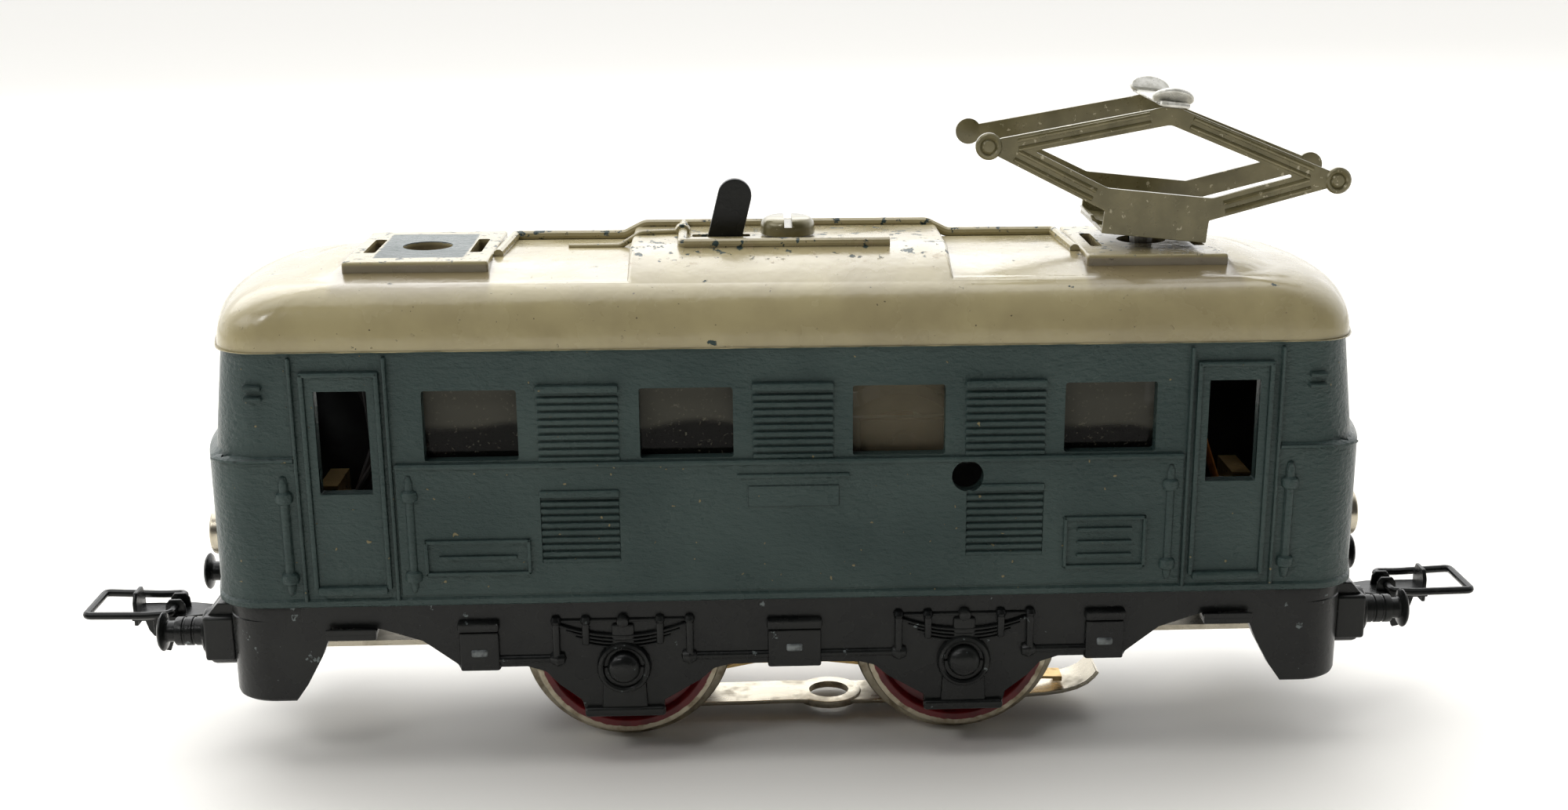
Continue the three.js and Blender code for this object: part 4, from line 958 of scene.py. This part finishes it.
# %% Side frames
EDGE = [(0, 10.5), (2.72, 10.5), (2.72, 10.9), (6.7, 10.8), (8.25, 10.4), (9.6, 9.2), (13.4, 7.0)]
EDGE += [(13.4, 5.5), (21.4, 5.5), (21.8, 7.2), (24.0, 8.9), (25.35, 10.4), (27.2, 11.0)]
EDGE += [(29.9, 11.0), (29.9, 10.75), (33.9, 10.75), (34.2, 11.4), (37.6, 14.0), (41.8, 15.4)]
EDGE += [(49.5, 15.8)]


def leaf(bm, side, x, z, half, thick, sag, proud):
    """One spring leaf, thin, with its ends bent up."""
    steps = 10
    xs = [x + half * (2 * i / steps - 1) for i in range(steps + 1)]
    top = [(px, z + sag * ((px - x) / half) ** 2) for px in xs]
    under = [(px, pz - thick) for px, pz in reversed(top)]
    prism(bm, top + under, "y", *between(side, FRAME_SIDE - 0.3, FRAME_SIDE + proud), 0.12, 2)


def axle_box(bm, side, x):
    out = FRAME_SIDE
    for i in range(4):
        sag = 1.35 - 0.28 * i
        leaf(bm, side, x, 14.45 - 0.42 * i, 6.7 - 0.95 * i, 0.30, sag, 0.55 - 0.05 * i)
    slab(bm, (x - 7.0, x + 7.0), between(side, out - 0.3, out + 0.35), (15.75, 16.15), 0.15)
    for dx, foot in ((-6.75, 11.9), (-3.75, 13.4), (3.75, 13.4), (6.75, 11.9)):
        post = (x + dx - 0.38, x + dx + 0.38)
        slab(bm, post, between(side, out - 0.3, out + 0.75), (foot, 15.9), 0.25, 3)
        ball = [(0, -0.55), (0.4, -0.4), (0.56, 0), (0.4, 0.4), (0, 0.55)]
        spun(bm, ball, "z", (x + dx, side * (out + 0.3), 16.0), 18)
    slab(bm, (x - 1.15, x + 1.15), between(side, out - 0.3, out + 0.5), (13.3, 15.6), 0.3)
    disc(bm, "y", (x, side * out, 15.95), 0.65, 0.95, 0.3, side, 20)
    horn = [(-2.1, 7.0 + 4.0), (-2.35, 6.4), (2.35, 6.4), (2.1, 7.0 + 4.0)]
    prism(bm, [(x + dx, z) for dx, z in horn], "y", *between(side, out - 0.3, out + 0.5), 0.25)
    slab(bm, (x - 4.1, x + 4.1), between(side, out - 0.3, out + 0.7), (5.5, 6.5), 0.3, 3)
    centre = (x, side * (out - 0.2), AXLE_Z - 0.1)
    ring = [(0, 0.45), (2.0, 0.45), (2.15, 1.0), (2.35, 1.12), (2.6, 1.05), (2.75, 0.8), (2.8, 0)]
    spun(bm, [*ring, (0, 0)], "y", centre, 32, side)
    cap = [(0, 1.75), (0.7, 1.7), (1.2, 1.52), (1.55, 1.2), (1.68, 0.85), (1.7, 0.4), (0, 0.4)]
    spun(bm, cap, "y", centre, 32, side)


def brake_rod(bm, side, a, b):
    """A rod between two stations, with its ball at the end nearer to the axle."""
    y = side * (FRAME_SIDE + 0.05)
    low, high = sorted((a, b))
    length = high - low
    ball = [(0, 0), (0.62, 0.2), (0.88, 0.85), (0.62, 1.5), (0.42, 1.65)]
    rod = [*ball, (0.42, length), (0, length)]
    at_low = abs(abs(low) - AXLE_X) < abs(abs(high) - AXLE_X)
    spun(bm, rod, "x", (low if at_low else high, y, 11.9), 24, 1 if at_low else -1)


def tab(bm, side, x0, x1, z0, z1):
    """A lug that hangs from a thicker head."""
    slab(bm, (x0, x1), between(side, FRAME_SIDE - 0.3, FRAME_SIDE + 0.6), (z0, z1 - 1.2), 0.25)
    head = between(side, FRAME_SIDE - 0.3, FRAME_SIDE + 0.95)
    slab(bm, (x0 - 0.1, x1 + 0.1), head, (z1 - 1.1, z1), 0.3)


def worn_studs():
    """The long rivet heads on the tabs, rubbed down to the grey metal."""
    bm = bmesh.new()
    for side in (-1, 1):
        for x in (-31.9, 0.0, 31.9):
            y = between(side, FRAME_SIDE + 0.3, FRAME_SIDE + 0.78)
            slab(bm, (x - 0.85, x + 0.85), y, (12.35, 13.2), 0.4, 3)
    return bm


def side_frame(bm, side):
    outline = [(-x, z) for x, z in reversed(EDGE[1:])] + EDGE
    outline += [(49.5, FLOOR_TOP + 0.62), (-49.5, FLOOR_TOP + 0.62)]
    prism(bm, outline, "y", *between(side, FRAME_SIDE - 1.4, FRAME_SIDE + 0.06), 0.2, 2)
    tab(bm, side, -2.72, 2.72, 10.6, 15.9)
    for s in (-1, 1):
        tab(bm, side, *between(s, 29.9, 33.9), 10.8, 16.2)
        x = between(s, 42.0, 47.0)
        slab(bm, x, between(side, FRAME_SIDE - 1, FRAME_SIDE + 1.2), (14.6, 15.4), 0.2)
        slab(bm, x, between(side, FRAME_SIDE + 0.9, FRAME_SIDE + 1.2), (15.2, 15.8), 0.1)
        brake_rod(bm, side, s * 2.6, s * 11.6)
        brake_rod(bm, side, s * 23.2, s * 30.1)
        axle_box(bm, side, s * AXLE_X)


# %% End castings and floor
SKIRT_LENGTH = 58.9
SKIRT_BOTTOM = 7.5
BEAM_FACE = 60.4
BUFFER_Y = abs(middle("buffer_rear_far").y)
BUFFER_Z = middle("buffer_rear_far").z


def skirts():
    bm = bmesh.new()
    rise = [(0, -0.7), (0.12, -0.35), (0.35, -0.1), (0.7, 0.0), (8.9, 0.0), (9.1, -0.2)]
    levels = [(SKIRT_BOTTOM + dz, plan(SKIRT_LENGTH + dl, FRAME_SIDE + dl, 4.2)) for dz, dl in rise]
    ring_loft(bm, levels)
    skirt = to_object("skirts", bm)
    bm = bmesh.new()
    inner = plan(SKIRT_LENGTH - 1.4, FRAME_SIDE - 1.4, 3.4)
    ring_loft(bm, [(SKIRT_BOTTOM - 1, inner), (SKIRT_BOTTOM + 8.7, inner)])
    carve(skirt, to_object("skirt_inside", bm))
    bm = bmesh.new()
    edge = [(47.0, 17.0), (46.6, 16.0), (47.0, 14.3), (47.8, 12.4), (49.4, 9.5), (50.9, 7.4)]
    edge += [(51.2, 6.0)]
    middle_part = [(-x, z) for x, z in reversed(edge)] + edge
    prism(bm, middle_part, "y", -20, 20)
    carve(skirt, to_object("skirt_middle", bm))
    bm = bmesh.new()
    slab(bm, (-80, -50), (-5.6, 5.6), (0, 14.6), 0.3)
    slab(bm, (50, 80), (-5.6, 5.6), (0, 14.6), 0.3)
    carve(skirt, to_object("coupler_gaps", bm))
    return skirt


def beam(bm, s):
    for side in (-1, 1):
        slab(bm, between(s, 57.2, BEAM_FACE), between(side, 5.6, 11.75), (10.9, 15.7), 0.35, 3)
        lug = [(0, 2.7), (1.3, 2.7), (1.6, 2.45), (1.7, 2.1), (1.7, 0), (0, 0)]
        spun(bm, lug, "x", (s * 58.0, side * 8.0, 11.0), 28, s)
        base = [(0, 1.0), (2.3, 1.0), (2.5, 0.8), (2.5, 0), (0, 0)]
        spun(bm, base, "x", (s * (BEAM_FACE - 0.7), side * BUFFER_Y, BUFFER_Z), 28, s)
    slab(bm, between(s, 57.2, BEAM_FACE), (-6.5, 6.5), (14.3, 15.7), 0.35, 3)
    slope = [(57.0, 15.5), (BEAM_FACE - 0.2, 15.5), (SKIRT_LENGTH, 17.0), (57.0, 17.0)]
    prism(bm, [(s * x, z) for x, z in slope], "y", -11.0, 11.0, 0.2, 2)


def underframe():
    bm = bmesh.new()
    rise = [(16.4, 0), (FLOOR_TOP, 0), (FLOOR_TOP + 0.5, -0.1)]
    ring_loft(bm, [(z, plan(SKIRT_LENGTH + dl, FRAME_SIDE + dl, 4.6)) for z, dl in rise])
    floor = to_object("floor_plate", bm)
    carve(floor, shaped(slab, (-29.5, 29.5), (-10.4, 10.4), (10, 20), 0.6))
    bm = bmesh.new()
    add_mesh(bm, floor)
    add_mesh(bm, skirts())
    for side in (-1, 1):
        side_frame(bm, side)
    for s in (-1, 1):
        beam(bm, s)
    return bm


piece(("underframe_casting", underframe()), "locomotive", BLACK, ["chassis_frame"])
piece(("worn_tab_studs", worn_studs()), "locomotive", WORN)
print("underframe made")

# %% [markdown]
# ## Buffers, lamps and wheels
# These are all turned parts, so each is one profile spun round its axis. The grooves of a buffer
# and the dish of a wheel are drawn straight into the profile.

# %% Turned fittings
BUFFER = [(0, -0.02), (1.2, -0.04), (1.75, -0.12), (2.0, -0.3), (2.05, -0.45), (1.9, -0.6)]
BUFFER += [(1.2, -0.8), (1.1, -0.95), (1.1, -1.65), (1.42, -1.75), (1.5, -1.9), (1.5, -2.5)]
BUFFER += [(1.4, -2.6), (1.4, -2.75), (1.5, -2.85), (1.5, -3.5), (1.4, -3.6), (1.4, -3.75)]
BUFFER += [(1.5, -3.85), (1.5, -4.75), (0.85, -4.75), (0.85, -6.0), (0, -6.0)]
LAMP_RING = [(1.95, -3.7), (2.45, -3.7), (2.45, -0.25), (2.4, -0.1), (2.28, 0.0), (2.12, 0.0)]
LAMP_RING += [(2.0, -0.06), (1.95, -0.2), (1.95, -3.7)]
LENS = [(0, -0.15), (0.8, -0.25), (1.4, -0.5), (1.72, -0.9), (1.75, -3.0), (0, -3.0)]
WHEEL = [(1.3, 7.0), (10.4, 7.0), (10.8, 7.12), (11.0, 7.35), (11.0, 7.6), (10.8, 7.85)]
WHEEL += [(10.2, 8.0), (9.98, 8.2), (9.9, 9.55), (9.8, 9.68), (9.6, 9.7), (8.75, 9.7)]
WHEEL += [(8.6, 9.62), (8.5, 9.4), (8.3, 8.75), (8.0, 8.6), (3.9, 8.42), (3.5, 8.6)]
WHEEL += [(3.2, 9.6), (3.0, 9.85), (2.8, 9.9), (1.45, 9.9), (1.3, 9.8), (1.3, 7.0)]

for end, s in ENDS.items():
    rim = wheel_paint("wheel_finish_" + end, s * AXLE_X)
    for side_name, side in SIDES.items():
        tail = "_%s_%s" % (end, side_name)
        low, high = span("buffer" + tail)
        face = high.x if s > 0 else low.x
        bm = bmesh.new()
        spun(bm, BUFFER, "x", (face, side * BUFFER_Y, BUFFER_Z), 36, s)
        piece(("buffer_turned" + tail, bm), "locomotive", BLACK, ["buffer" + tail])
        low, high = span("headlamp_ring" + tail)
        face = s * max(abs(low.x), abs(high.x))
        bm = bmesh.new()
        spun(bm, LAMP_RING, "x", (face, side * LAMP_Y, LAMP_Z), 40, s)
        piece(("lamp_ring" + tail, bm), "locomotive", NICKEL, ["headlamp_ring" + tail])
        bm = bmesh.new()
        spun(bm, LENS, "x", (face, side * LAMP_Y, LAMP_Z), 36, s)
        made = piece(("lamp_lens" + tail, bm), "locomotive", GLASS)
        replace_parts(made, "headlamp_lens" + tail)
        bm = bmesh.new()
        spun(bm, WHEEL, "y", (s * AXLE_X, 0, AXLE_Z), 72, side)
        body = "wheelset_" + end
        piece(("wheel_turned" + tail, bm), body, rim, ["wheel" + tail], 40)
print("buffers, lamps and wheels made")

# %% [markdown]
# ## Pickup shoe and couplers
# The shoe is a springy nickel strip: flat in the middle, with its ends curled up to ride over rail
# joints. Its outline is a line of points with a thickness. The couplers are a stamped drawbar with
# a hook plate and two flaps, and a bent wire bail that hangs from it.

# %% Pickup shoe
SHOE = [(-21.75, 4.0), (-21.5, 3.2), (-21.0, 2.55), (-20.0, 2.0), (-18.5, 1.65), (-16, 1.4)]
SHOE += [(-10, 1.2), (-5, 1.22), (0, 1.3), (5, 1.15), (10, 1.1), (15, 1.15), (20, 1.2), (24, 1.32)]
SHOE += [(28, 1.55), (30, 1.8), (31.5, 2.2), (32.6, 2.75), (33.3, 3.4), (33.75, 4.0)]
SHOE_EYE_X = 4.2


def strip_outline(full, thick):
    """A line of (x, z) points, and back along its underside."""
    under = []
    for i, (x, z) in enumerate(full):
        a, b = full[max(i - 1, 0)], full[min(i + 1, len(full) - 1)]
        along = Vector((b[0] - a[0], b[1] - a[1])).normalized()
        under.append((x + along.y * thick, z - along.x * thick))
    return full + under[::-1]


bm = bmesh.new()
prism(bm, strip_outline(SHOE, 0.45), "y", -2.75, 2.75, 0.12, 2)
strip = to_object("shoe_strip", bm)
carve(strip, shaped(disc, "z", (SHOE_EYE_X, 0, 0.55), 3.6, 0.75, 0.15), "UNION")
carve(strip, shaped(disc, "z", (SHOE_EYE_X, 0, -1), 2.2, 4, 0.05))
piece(strip, "shoe", NICKEL, ["pickup_shoe"])
print("pickup shoe made")

# %% Couplers
COUPLER_PIVOT = 52.0
BLADE_Z = (11.75, 12.25)  # the drawbar's blade, bottom and top
BAIL_X = 66.2  # the ears that the bail hangs from


def coupler_arm(s):
    pivot = s * COUPLER_PIVOT
    z0, z1 = BLADE_Z
    half = [(54, 2.4), (57, 1.8), (63, 1.6), (65, 2.2), (70.6, 2.2)]
    outline = [(s * x, y) for x, y in half] + [(s * x, -y) for x, y in reversed(half)]
    bm = bmesh.new()
    prism(bm, outline, "z", z0, z1, 0.12, 2)
    arm = to_object("arm_blade", bm)
    carve(arm, shaped(disc, "z", (pivot, 0, z0), 2.8, z1 - z0, 0.12), "UNION")
    carve(arm, shaped(disc, "z", (pivot, 0, 5), 1.3, 15, 0.05))
    bm = bmesh.new()
    add_mesh(bm, arm)
    hook = [(1.7, 11.0), (1.7, 13.6), (1.1, 14.6), (-1.1, 14.6), (-1.7, 13.6), (-1.7, 11.0)]
    prism(bm, hook, "x", *between(s, 70.1, 70.55), 0.15, 2)
    for x0, y in ((66.0, -2.0), (68.2, 2.0)):
        flap = [(0, z1), (2.4, z1), (2.35, 10.4), (2.0, 9.2), (1.5, 8.45), (0.8, 8.3), (0.4, 9.4)]
        prism(bm, [(s * (x0 + dx), z) for dx, z in flap], "y", y - 0.22, y + 0.22, 0.1, 2)
    for y in (-1.0, 1.0):
        ear = [(0, z0), (1.1, z1), (1.0, 13.2), (0.6, 13.75)]
        ear += [(-dx, z) for dx, z in reversed(ear[1:])]
        prism(bm, [(s * (BAIL_X + dx), z) for dx, z in ear], "y", y - 0.2, y + 0.2, 0.1, 2)
    return bm


def coupler_bail(s):
    low, high = span("coupler_bail_" + ("rear" if s > 0 else "front"))
    z = 12.9
    tip = s * (max(abs(low.x), abs(high.x)) - 0.42)
    foot = s * BAIL_X
    loop = [(foot, -3.1, z), (foot + s * 2.5, -3.25, z - 0.1), (tip, -3.5, z + 0.1)]
    loop += [(x, -y, h) for x, y, h in reversed(loop)]
    bm = bmesh.new()
    wire(bm, loop, 0.42, 1.3, True)
    return bm


for end, s in ENDS.items():
    made = ("coupler_hook_" + end, coupler_arm(s))
    piece(made, "drawbar_" + end, BLACK_SHEET, ["coupler_arm_" + end])
    made = ("bail_wire_" + end, coupler_bail(s))
    piece(made, "bail_" + end, BLACK_SHEET, ["coupler_bail_" + end])
print("couplers made")

# %% [markdown]
# ## Pantograph
# The pantograph is stamped from one sheet and bent into a U: a foot, and a diamond on each side
# whose arms are stiffened by two pressed ribs. It is drawn level round its rivet and then tipped
# the few degrees that it leans on the real one. The same turn is applied to the contact head.

# %% Pantograph frame and head
TILT = math.radians(5.9)
PIVOT = Vector((PAD_X, 0, 52.9))
PANTOGRAPH_SIDE = 6.07
KNEE = (17.95, 7.6)
HALF_TURN = [math.pi * i / 16 for i in range(17)]


def lean(made):
    turn = Matrix.Translation(PIVOT) @ Matrix.Rotation(TILT, 4, "Y")
    made.data.transform(turn)
    return made


def rib(bm, side, a, b, shift):
    """A pressed rib along an arm: a half-round bar with tapered ends."""
    a, b = Vector(a), Vector(b)
    along = (b - a).normalized()
    across = Vector((-along.y, along.x)) * shift
    y = side * (PANTOGRAPH_SIDE + 0.22)
    a3, b3 = ((p.x, y, p.y) for p in (a + across + along * 1.4, b + across - along * 1.2))
    wire(bm, [a3, b3], 0.26, 0.1, False, 2)


def splay(x, side):
    """The far side is bent a little wider than the near one beyond its foot."""
    return x * 1.035 if side > 0 and abs(x) > 6 else x


def pantograph_frame():
    outer = [(-16.95, 8.5), (-0.8, 13.2), (0.8, 13.2), (16.95, 8.5), (16.95, 6.7), (5.4, 2.3)]
    outer += [(5.4, 0), (-5.4, 0), (-5.4, 2.3), (-16.95, 6.7)]
    inner = [(-13.35, 7.6), (-5.4, 4.6), (5.4, 4.6), (13.35, 7.6), (0, 11.5)]
    frames = bmesh.new()
    for side in (-1, 1):
        bm = bmesh.new()
        y = between(side, PANTOGRAPH_SIDE - 0.25, PANTOGRAPH_SIDE + 0.25)
        prism(bm, [(splay(x, side), z) for x, z in outer], "y", *y, 0.1, 2)
        sheet = to_object("side_sheet", bm)
        bm = bmesh.new()
        prism(bm, [(splay(x, side), z) for x, z in inner], "y", *between(side, 2, 9), 0.3, 2)
        carve(sheet, to_object("diamond_hole", bm))
        add_mesh(frames, sheet)
    bm = frames
    slab(bm, (-5.4, 5.4), (-PANTOGRAPH_SIDE, PANTOGRAPH_SIDE), (0, 0.5), 0.15, 3)
    tongue = [(-5.3, 0.5), (-5.9, 0.75), (-6.2, 1.3), (-5.9, 1.35), (-5.6, 1.0), (-5.0, 0.85)]
    prism(bm, [*tongue, (-4.0, 0.8), (-4.0, 0.45)], "y", -3.2, 3.2, 0.08, 2)
    knee = [(0, 0.45), (0.55, 0.42), (0.75, 0.25), (0.95, 0.42), (1.2, 0.4), (1.35, 0.25)]
    for side in (-1, 1):
        for s in (-1, 1):
            at = (splay(s * KNEE[0], side), side * PANTOGRAPH_SIDE, KNEE[1])
            spun(bm, [*knee, (1.35, -0.2), (0, -0.3)], "y", at, 28, side)
            for shift in (-0.45, 0.45):
                reach = splay(s * 16.4, side)
                rib(bm, side, (reach, 7.7), (s * 1.0, 12.3), shift)
                rib(bm, side, (reach, 7.5), (s * 5.6, 3.4), shift)
    return lean(to_object("pantograph_frame_sheet", bm))


def pantograph_head():
    bm = bmesh.new()
    slab(bm, (-1.5, 1.5), (-7.0, 7.0), (13.35, 13.75), 0.15)
    for side in (-1, 1):
        slab(bm, (-1.5, 1.5), between(side, 4.7, 7.25), (13.3, 13.8), 0.2)
        arc = [(2.15 * math.cos(a), 1.55 * math.sin(a)) for a in HALF_TURN]
        before = set(bm.verts)
        prism(bm, [(1.9, -0.4), *arc, (-1.9, -0.4)], "y", -0.27, 0.27, 0.22, 3)
        ear = [v for v in bm.verts if v not in before]
        turn = Matrix.Rotation(math.radians(-side * 46), 3, "X")
        bmesh.ops.rotate(bm, cent=(0, 0, 0), matrix=turn, verts=ear)
        bmesh.ops.translate(bm, vec=(0, side * 5.5, 14.0), verts=ear)
    return lean(to_object("contact_head", bm))


piece(pantograph_frame(), "pantograph", OLIVE, ["pantograph_frame"])
piece(pantograph_head(), "pantograph", HEAD_NICKEL, ["pantograph_head"])
print("pantograph made")

# %% Roof screw and lever
bm = bmesh.new()
low, high = span("roof_screw")
head = [(0, high.z), (2.1, high.z - 0.05), (2.5, high.z - 0.25), (2.72, high.z - 0.6)]
head += [(2.8, high.z - 1.0), (2.8, high.z - 1.75), (1.05, high.z - 1.75)]
head += [(1.05, low.z), (0, low.z)]
spun(bm, head, "z", (0, 0, 0), 40)
screw = to_object("roof_screw_turned", bm)
carve(screw, shaped(slab, (-0.4, 0.4), (-4, 4), (high.z - 0.8, high.z + 1), 0))
piece(screw, "locomotive", OLIVE, ["roof_screw"])

LEVER_PIVOT = (-8.1, 0, 46.0)
LEVER_LEAN = math.radians(14)
bm = bmesh.new()
tip = [(1.75 * math.cos(a), 11 + 1.75 * math.sin(a)) for a in HALF_TURN]
prism(bm, [(1.75, -2.2), *tip, (-1.75, -2.2)], "y", -0.45, 0.45, 0.18, 2)
spun(bm, [(0, -0.9), (0.8, -0.9), (0.8, 2.7), (0, 2.7)], "y", (0, 0, 0), 20)
lever = to_object("lever_blade", bm)
lever.data.transform(Matrix.Translation(LEVER_PIVOT) @ Matrix.Rotation(LEVER_LEAN, 4, "Y"))
piece(lever, "lever", BLACK_SHEET, ["changeover_lever"])
print("roof fittings made")

# %% [markdown]
# ## What can be seen inside
# The gears, motor, relay, lamps and contacts keep their shape from the frame, which is already
# exact, and only need a finish. A list of finishes, each with the first words of the parts that
# wear it, keeps that short. The first match counts, so the pinion's brass comes before the
# armature's winding. Each winding has a finish that runs along its own axis.

# %% Finishes for the inner parts
GEAR_BRASS = metal("gear_brass", (0.66, 0.47, 0.20), 0.3, tarnish=(0.16, 0.10, 0.04))
MAGNET = flat_finish("blackened_magnet_steel", (0.06,) * 3, (0.12,) * 3, 0.4, 1.5, 0.8)
BULB = flat_finish("bulb_glass", (0.75, 0.74, 0.68), (0.85, 0.84, 0.78), 0.08)
COIL_Y = winding("field_winding", 1)
COIL_X = winding("relay_winding", 0)
INNER = [
    (STEEL, ("screw_pillar", "gear_side", "brush_side", "idler_pin", "axle_front", "axle_rear")),
    (STEEL, ("relay_frame", "relay_armature", "pantograph_rivet")),
    (MAGNET, ("field_magnet",)),
    (GEAR_BRASS, ("armature_pinion", "idler_gear", "axle_gear")),
    (BRASS, ("contact_strip", "pickup_spring", "lamp_socket")),
    (COIL_Y, ("field_coil", "armature", "commutator")),
    (COIL_X, ("relay_coil",)),
    (NICKEL, ("coupler_plate",)),
    (BOARD, ("brush_plate", "contact_base", "pickup_carrier")),
    (WIRE_COVER, ("lead_wire",)),
    (BULB, ("lamp_bulb",)),
    (CELLULOID, ("window_strip",)),
]
hidden = {n for o in bpy.data.objects for n in o.get("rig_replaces", [])}
left_over = []
for name, node in frame["nodes"].items():
    if name in hidden:
        continue
    match = [material for material, starts in INNER if name.startswith(starts)]
    if not match:
        left_over.append(name)
        continue
    for material_slot in node.material_slots:
        material_slot.material = match[0]
print("replaced:", len(hidden), "without a finish:", left_over)

# %% Cab wires
FRONT_WIRES = [
    [(-46.5, 2.0, 24.5), (-44.0, 3.0, 31.0), (-45.5, 1.0, 37.0), (-40.0, -1.5, 41.5)],
    [(-46.5, -2.0, 24.5), (-43.0, -4.5, 30.0), (-44.0, -3.0, 38.5), (-37.5, 1.0, 42.5)],
]
bm = bmesh.new()
for line in FRONT_WIRES:
    wire(bm, line, 0.42, 2.5)
DARK_WIRE = flat_finish("dark_wire_cover", (0.02, 0.02, 0.022), (0.05, 0.045, 0.04), 0.4)
piece(("cab_wires", bm), "locomotive", DARK_WIRE)
bm = bmesh.new()
wire(bm, [(46.5, -2.0, 24.5), (44.0, -3.5, 31.0), (42.5, -2.5, 38.0), (32.0, 3.5, 42.0)], 0.42, 2.5)
piece(("rear_cab_wire", bm), "locomotive", WIRE_COVER)

# %% [markdown]
# ## Floor, light and camera
# The floor is pale and plain, and the sky is brighter behind the model than before it. Two wide
# soft lamps, one behind and one above, give the bright line along the gutter and let the near side
# fall into shade. A weaker lamp at the left lights the front end, and a small one in front puts the
# glints on the metal.

# %% Stage
floor_mesh = bpy.data.meshes.new("floor")
bm = bmesh.new()
bmesh.ops.create_grid(bm, x_segments=1, y_segments=1, size=6.0)
bm.to_mesh(floor_mesh)
bm.free()
floor = bpy.data.objects.new("floor", floor_mesh)
bpy.context.scene.collection.objects.link(floor)
paper = Finish("pale_paper")
paper.set("Base Color", (0.92, 0.90, 0.85)).set("Roughness", 0.55)
floor.data.materials.append(paper.material)

world = bpy.data.worlds.new("pale_sky")
bpy.context.scene.world = world
world.use_nodes = True
sky = world.node_tree.nodes
direction = sky.new("ShaderNodeTexCoord")
split = sky.new("ShaderNodeSeparateXYZ")
sky["Background"].inputs["Color"].default_value = (1.0, 1.0, 1.0, 1.0)
fade = sky.new("ShaderNodeMapRange")
fade.interpolation_type = "SMOOTHSTEP"
FADE = {"From Min": -0.5, "From Max": 0.62, "To Min": 0.06, "To Max": 1.75}
for socket, value in FADE.items():
    fade.inputs[socket].default_value = value
world.node_tree.links.new(direction.outputs["Generated"], split.inputs[0])
world.node_tree.links.new(split.outputs["Y"], fade.inputs["Value"])
world.node_tree.links.new(fade.outputs[0], sky["Background"].inputs["Strength"])


def soft_light(name, at, towards, size, watts):
    light = bpy.data.lights.new(name, "AREA")
    light.shape = "RECTANGLE"
    light.size, light.size_y = size
    light.energy = watts
    holder = bpy.data.objects.new(name, light)
    holder.location = at
    holder.rotation_euler = (Vector(towards) - Vector(at)).to_track_quat("-Z", "Y").to_euler()
    bpy.context.scene.collection.objects.link(holder)


soft_light("back_light", (-0.15, 0.45, 0.40), (0, 0, 0.03), (0.9, 0.3), 2.0)
soft_light("top_light", (-0.10, 0.10, 0.70), (0, 0, 0.03), (0.8, 0.5), 2.3)
soft_light("left_light", (-0.45, -0.15, 0.35), (0, 0, 0.03), (0.3, 0.2), 0.5)
soft_light("glint_light", (-0.30, -0.35, 0.42), (0, 0, 0.03), (0.10, 0.10), 0.45)

# %% Camera
camera = bpy.data.cameras.new("camera")
camera.lens = 43.73
camera.sensor_width = 36.0
camera.shift_x = -0.03465
camera.shift_y = 0.0301
camera.clip_start = 0.01
holder = bpy.data.objects.new("camera", camera)
holder.location = (-0.005055, -0.196386, 0.086953)
holder.rotation_euler = (math.radians(90 - 16.461), 0, math.radians(-3.013))
bpy.context.scene.collection.objects.link(holder)
bpy.context.scene.camera = holder
bpy.context.scene.view_settings.view_transform = "Standard"
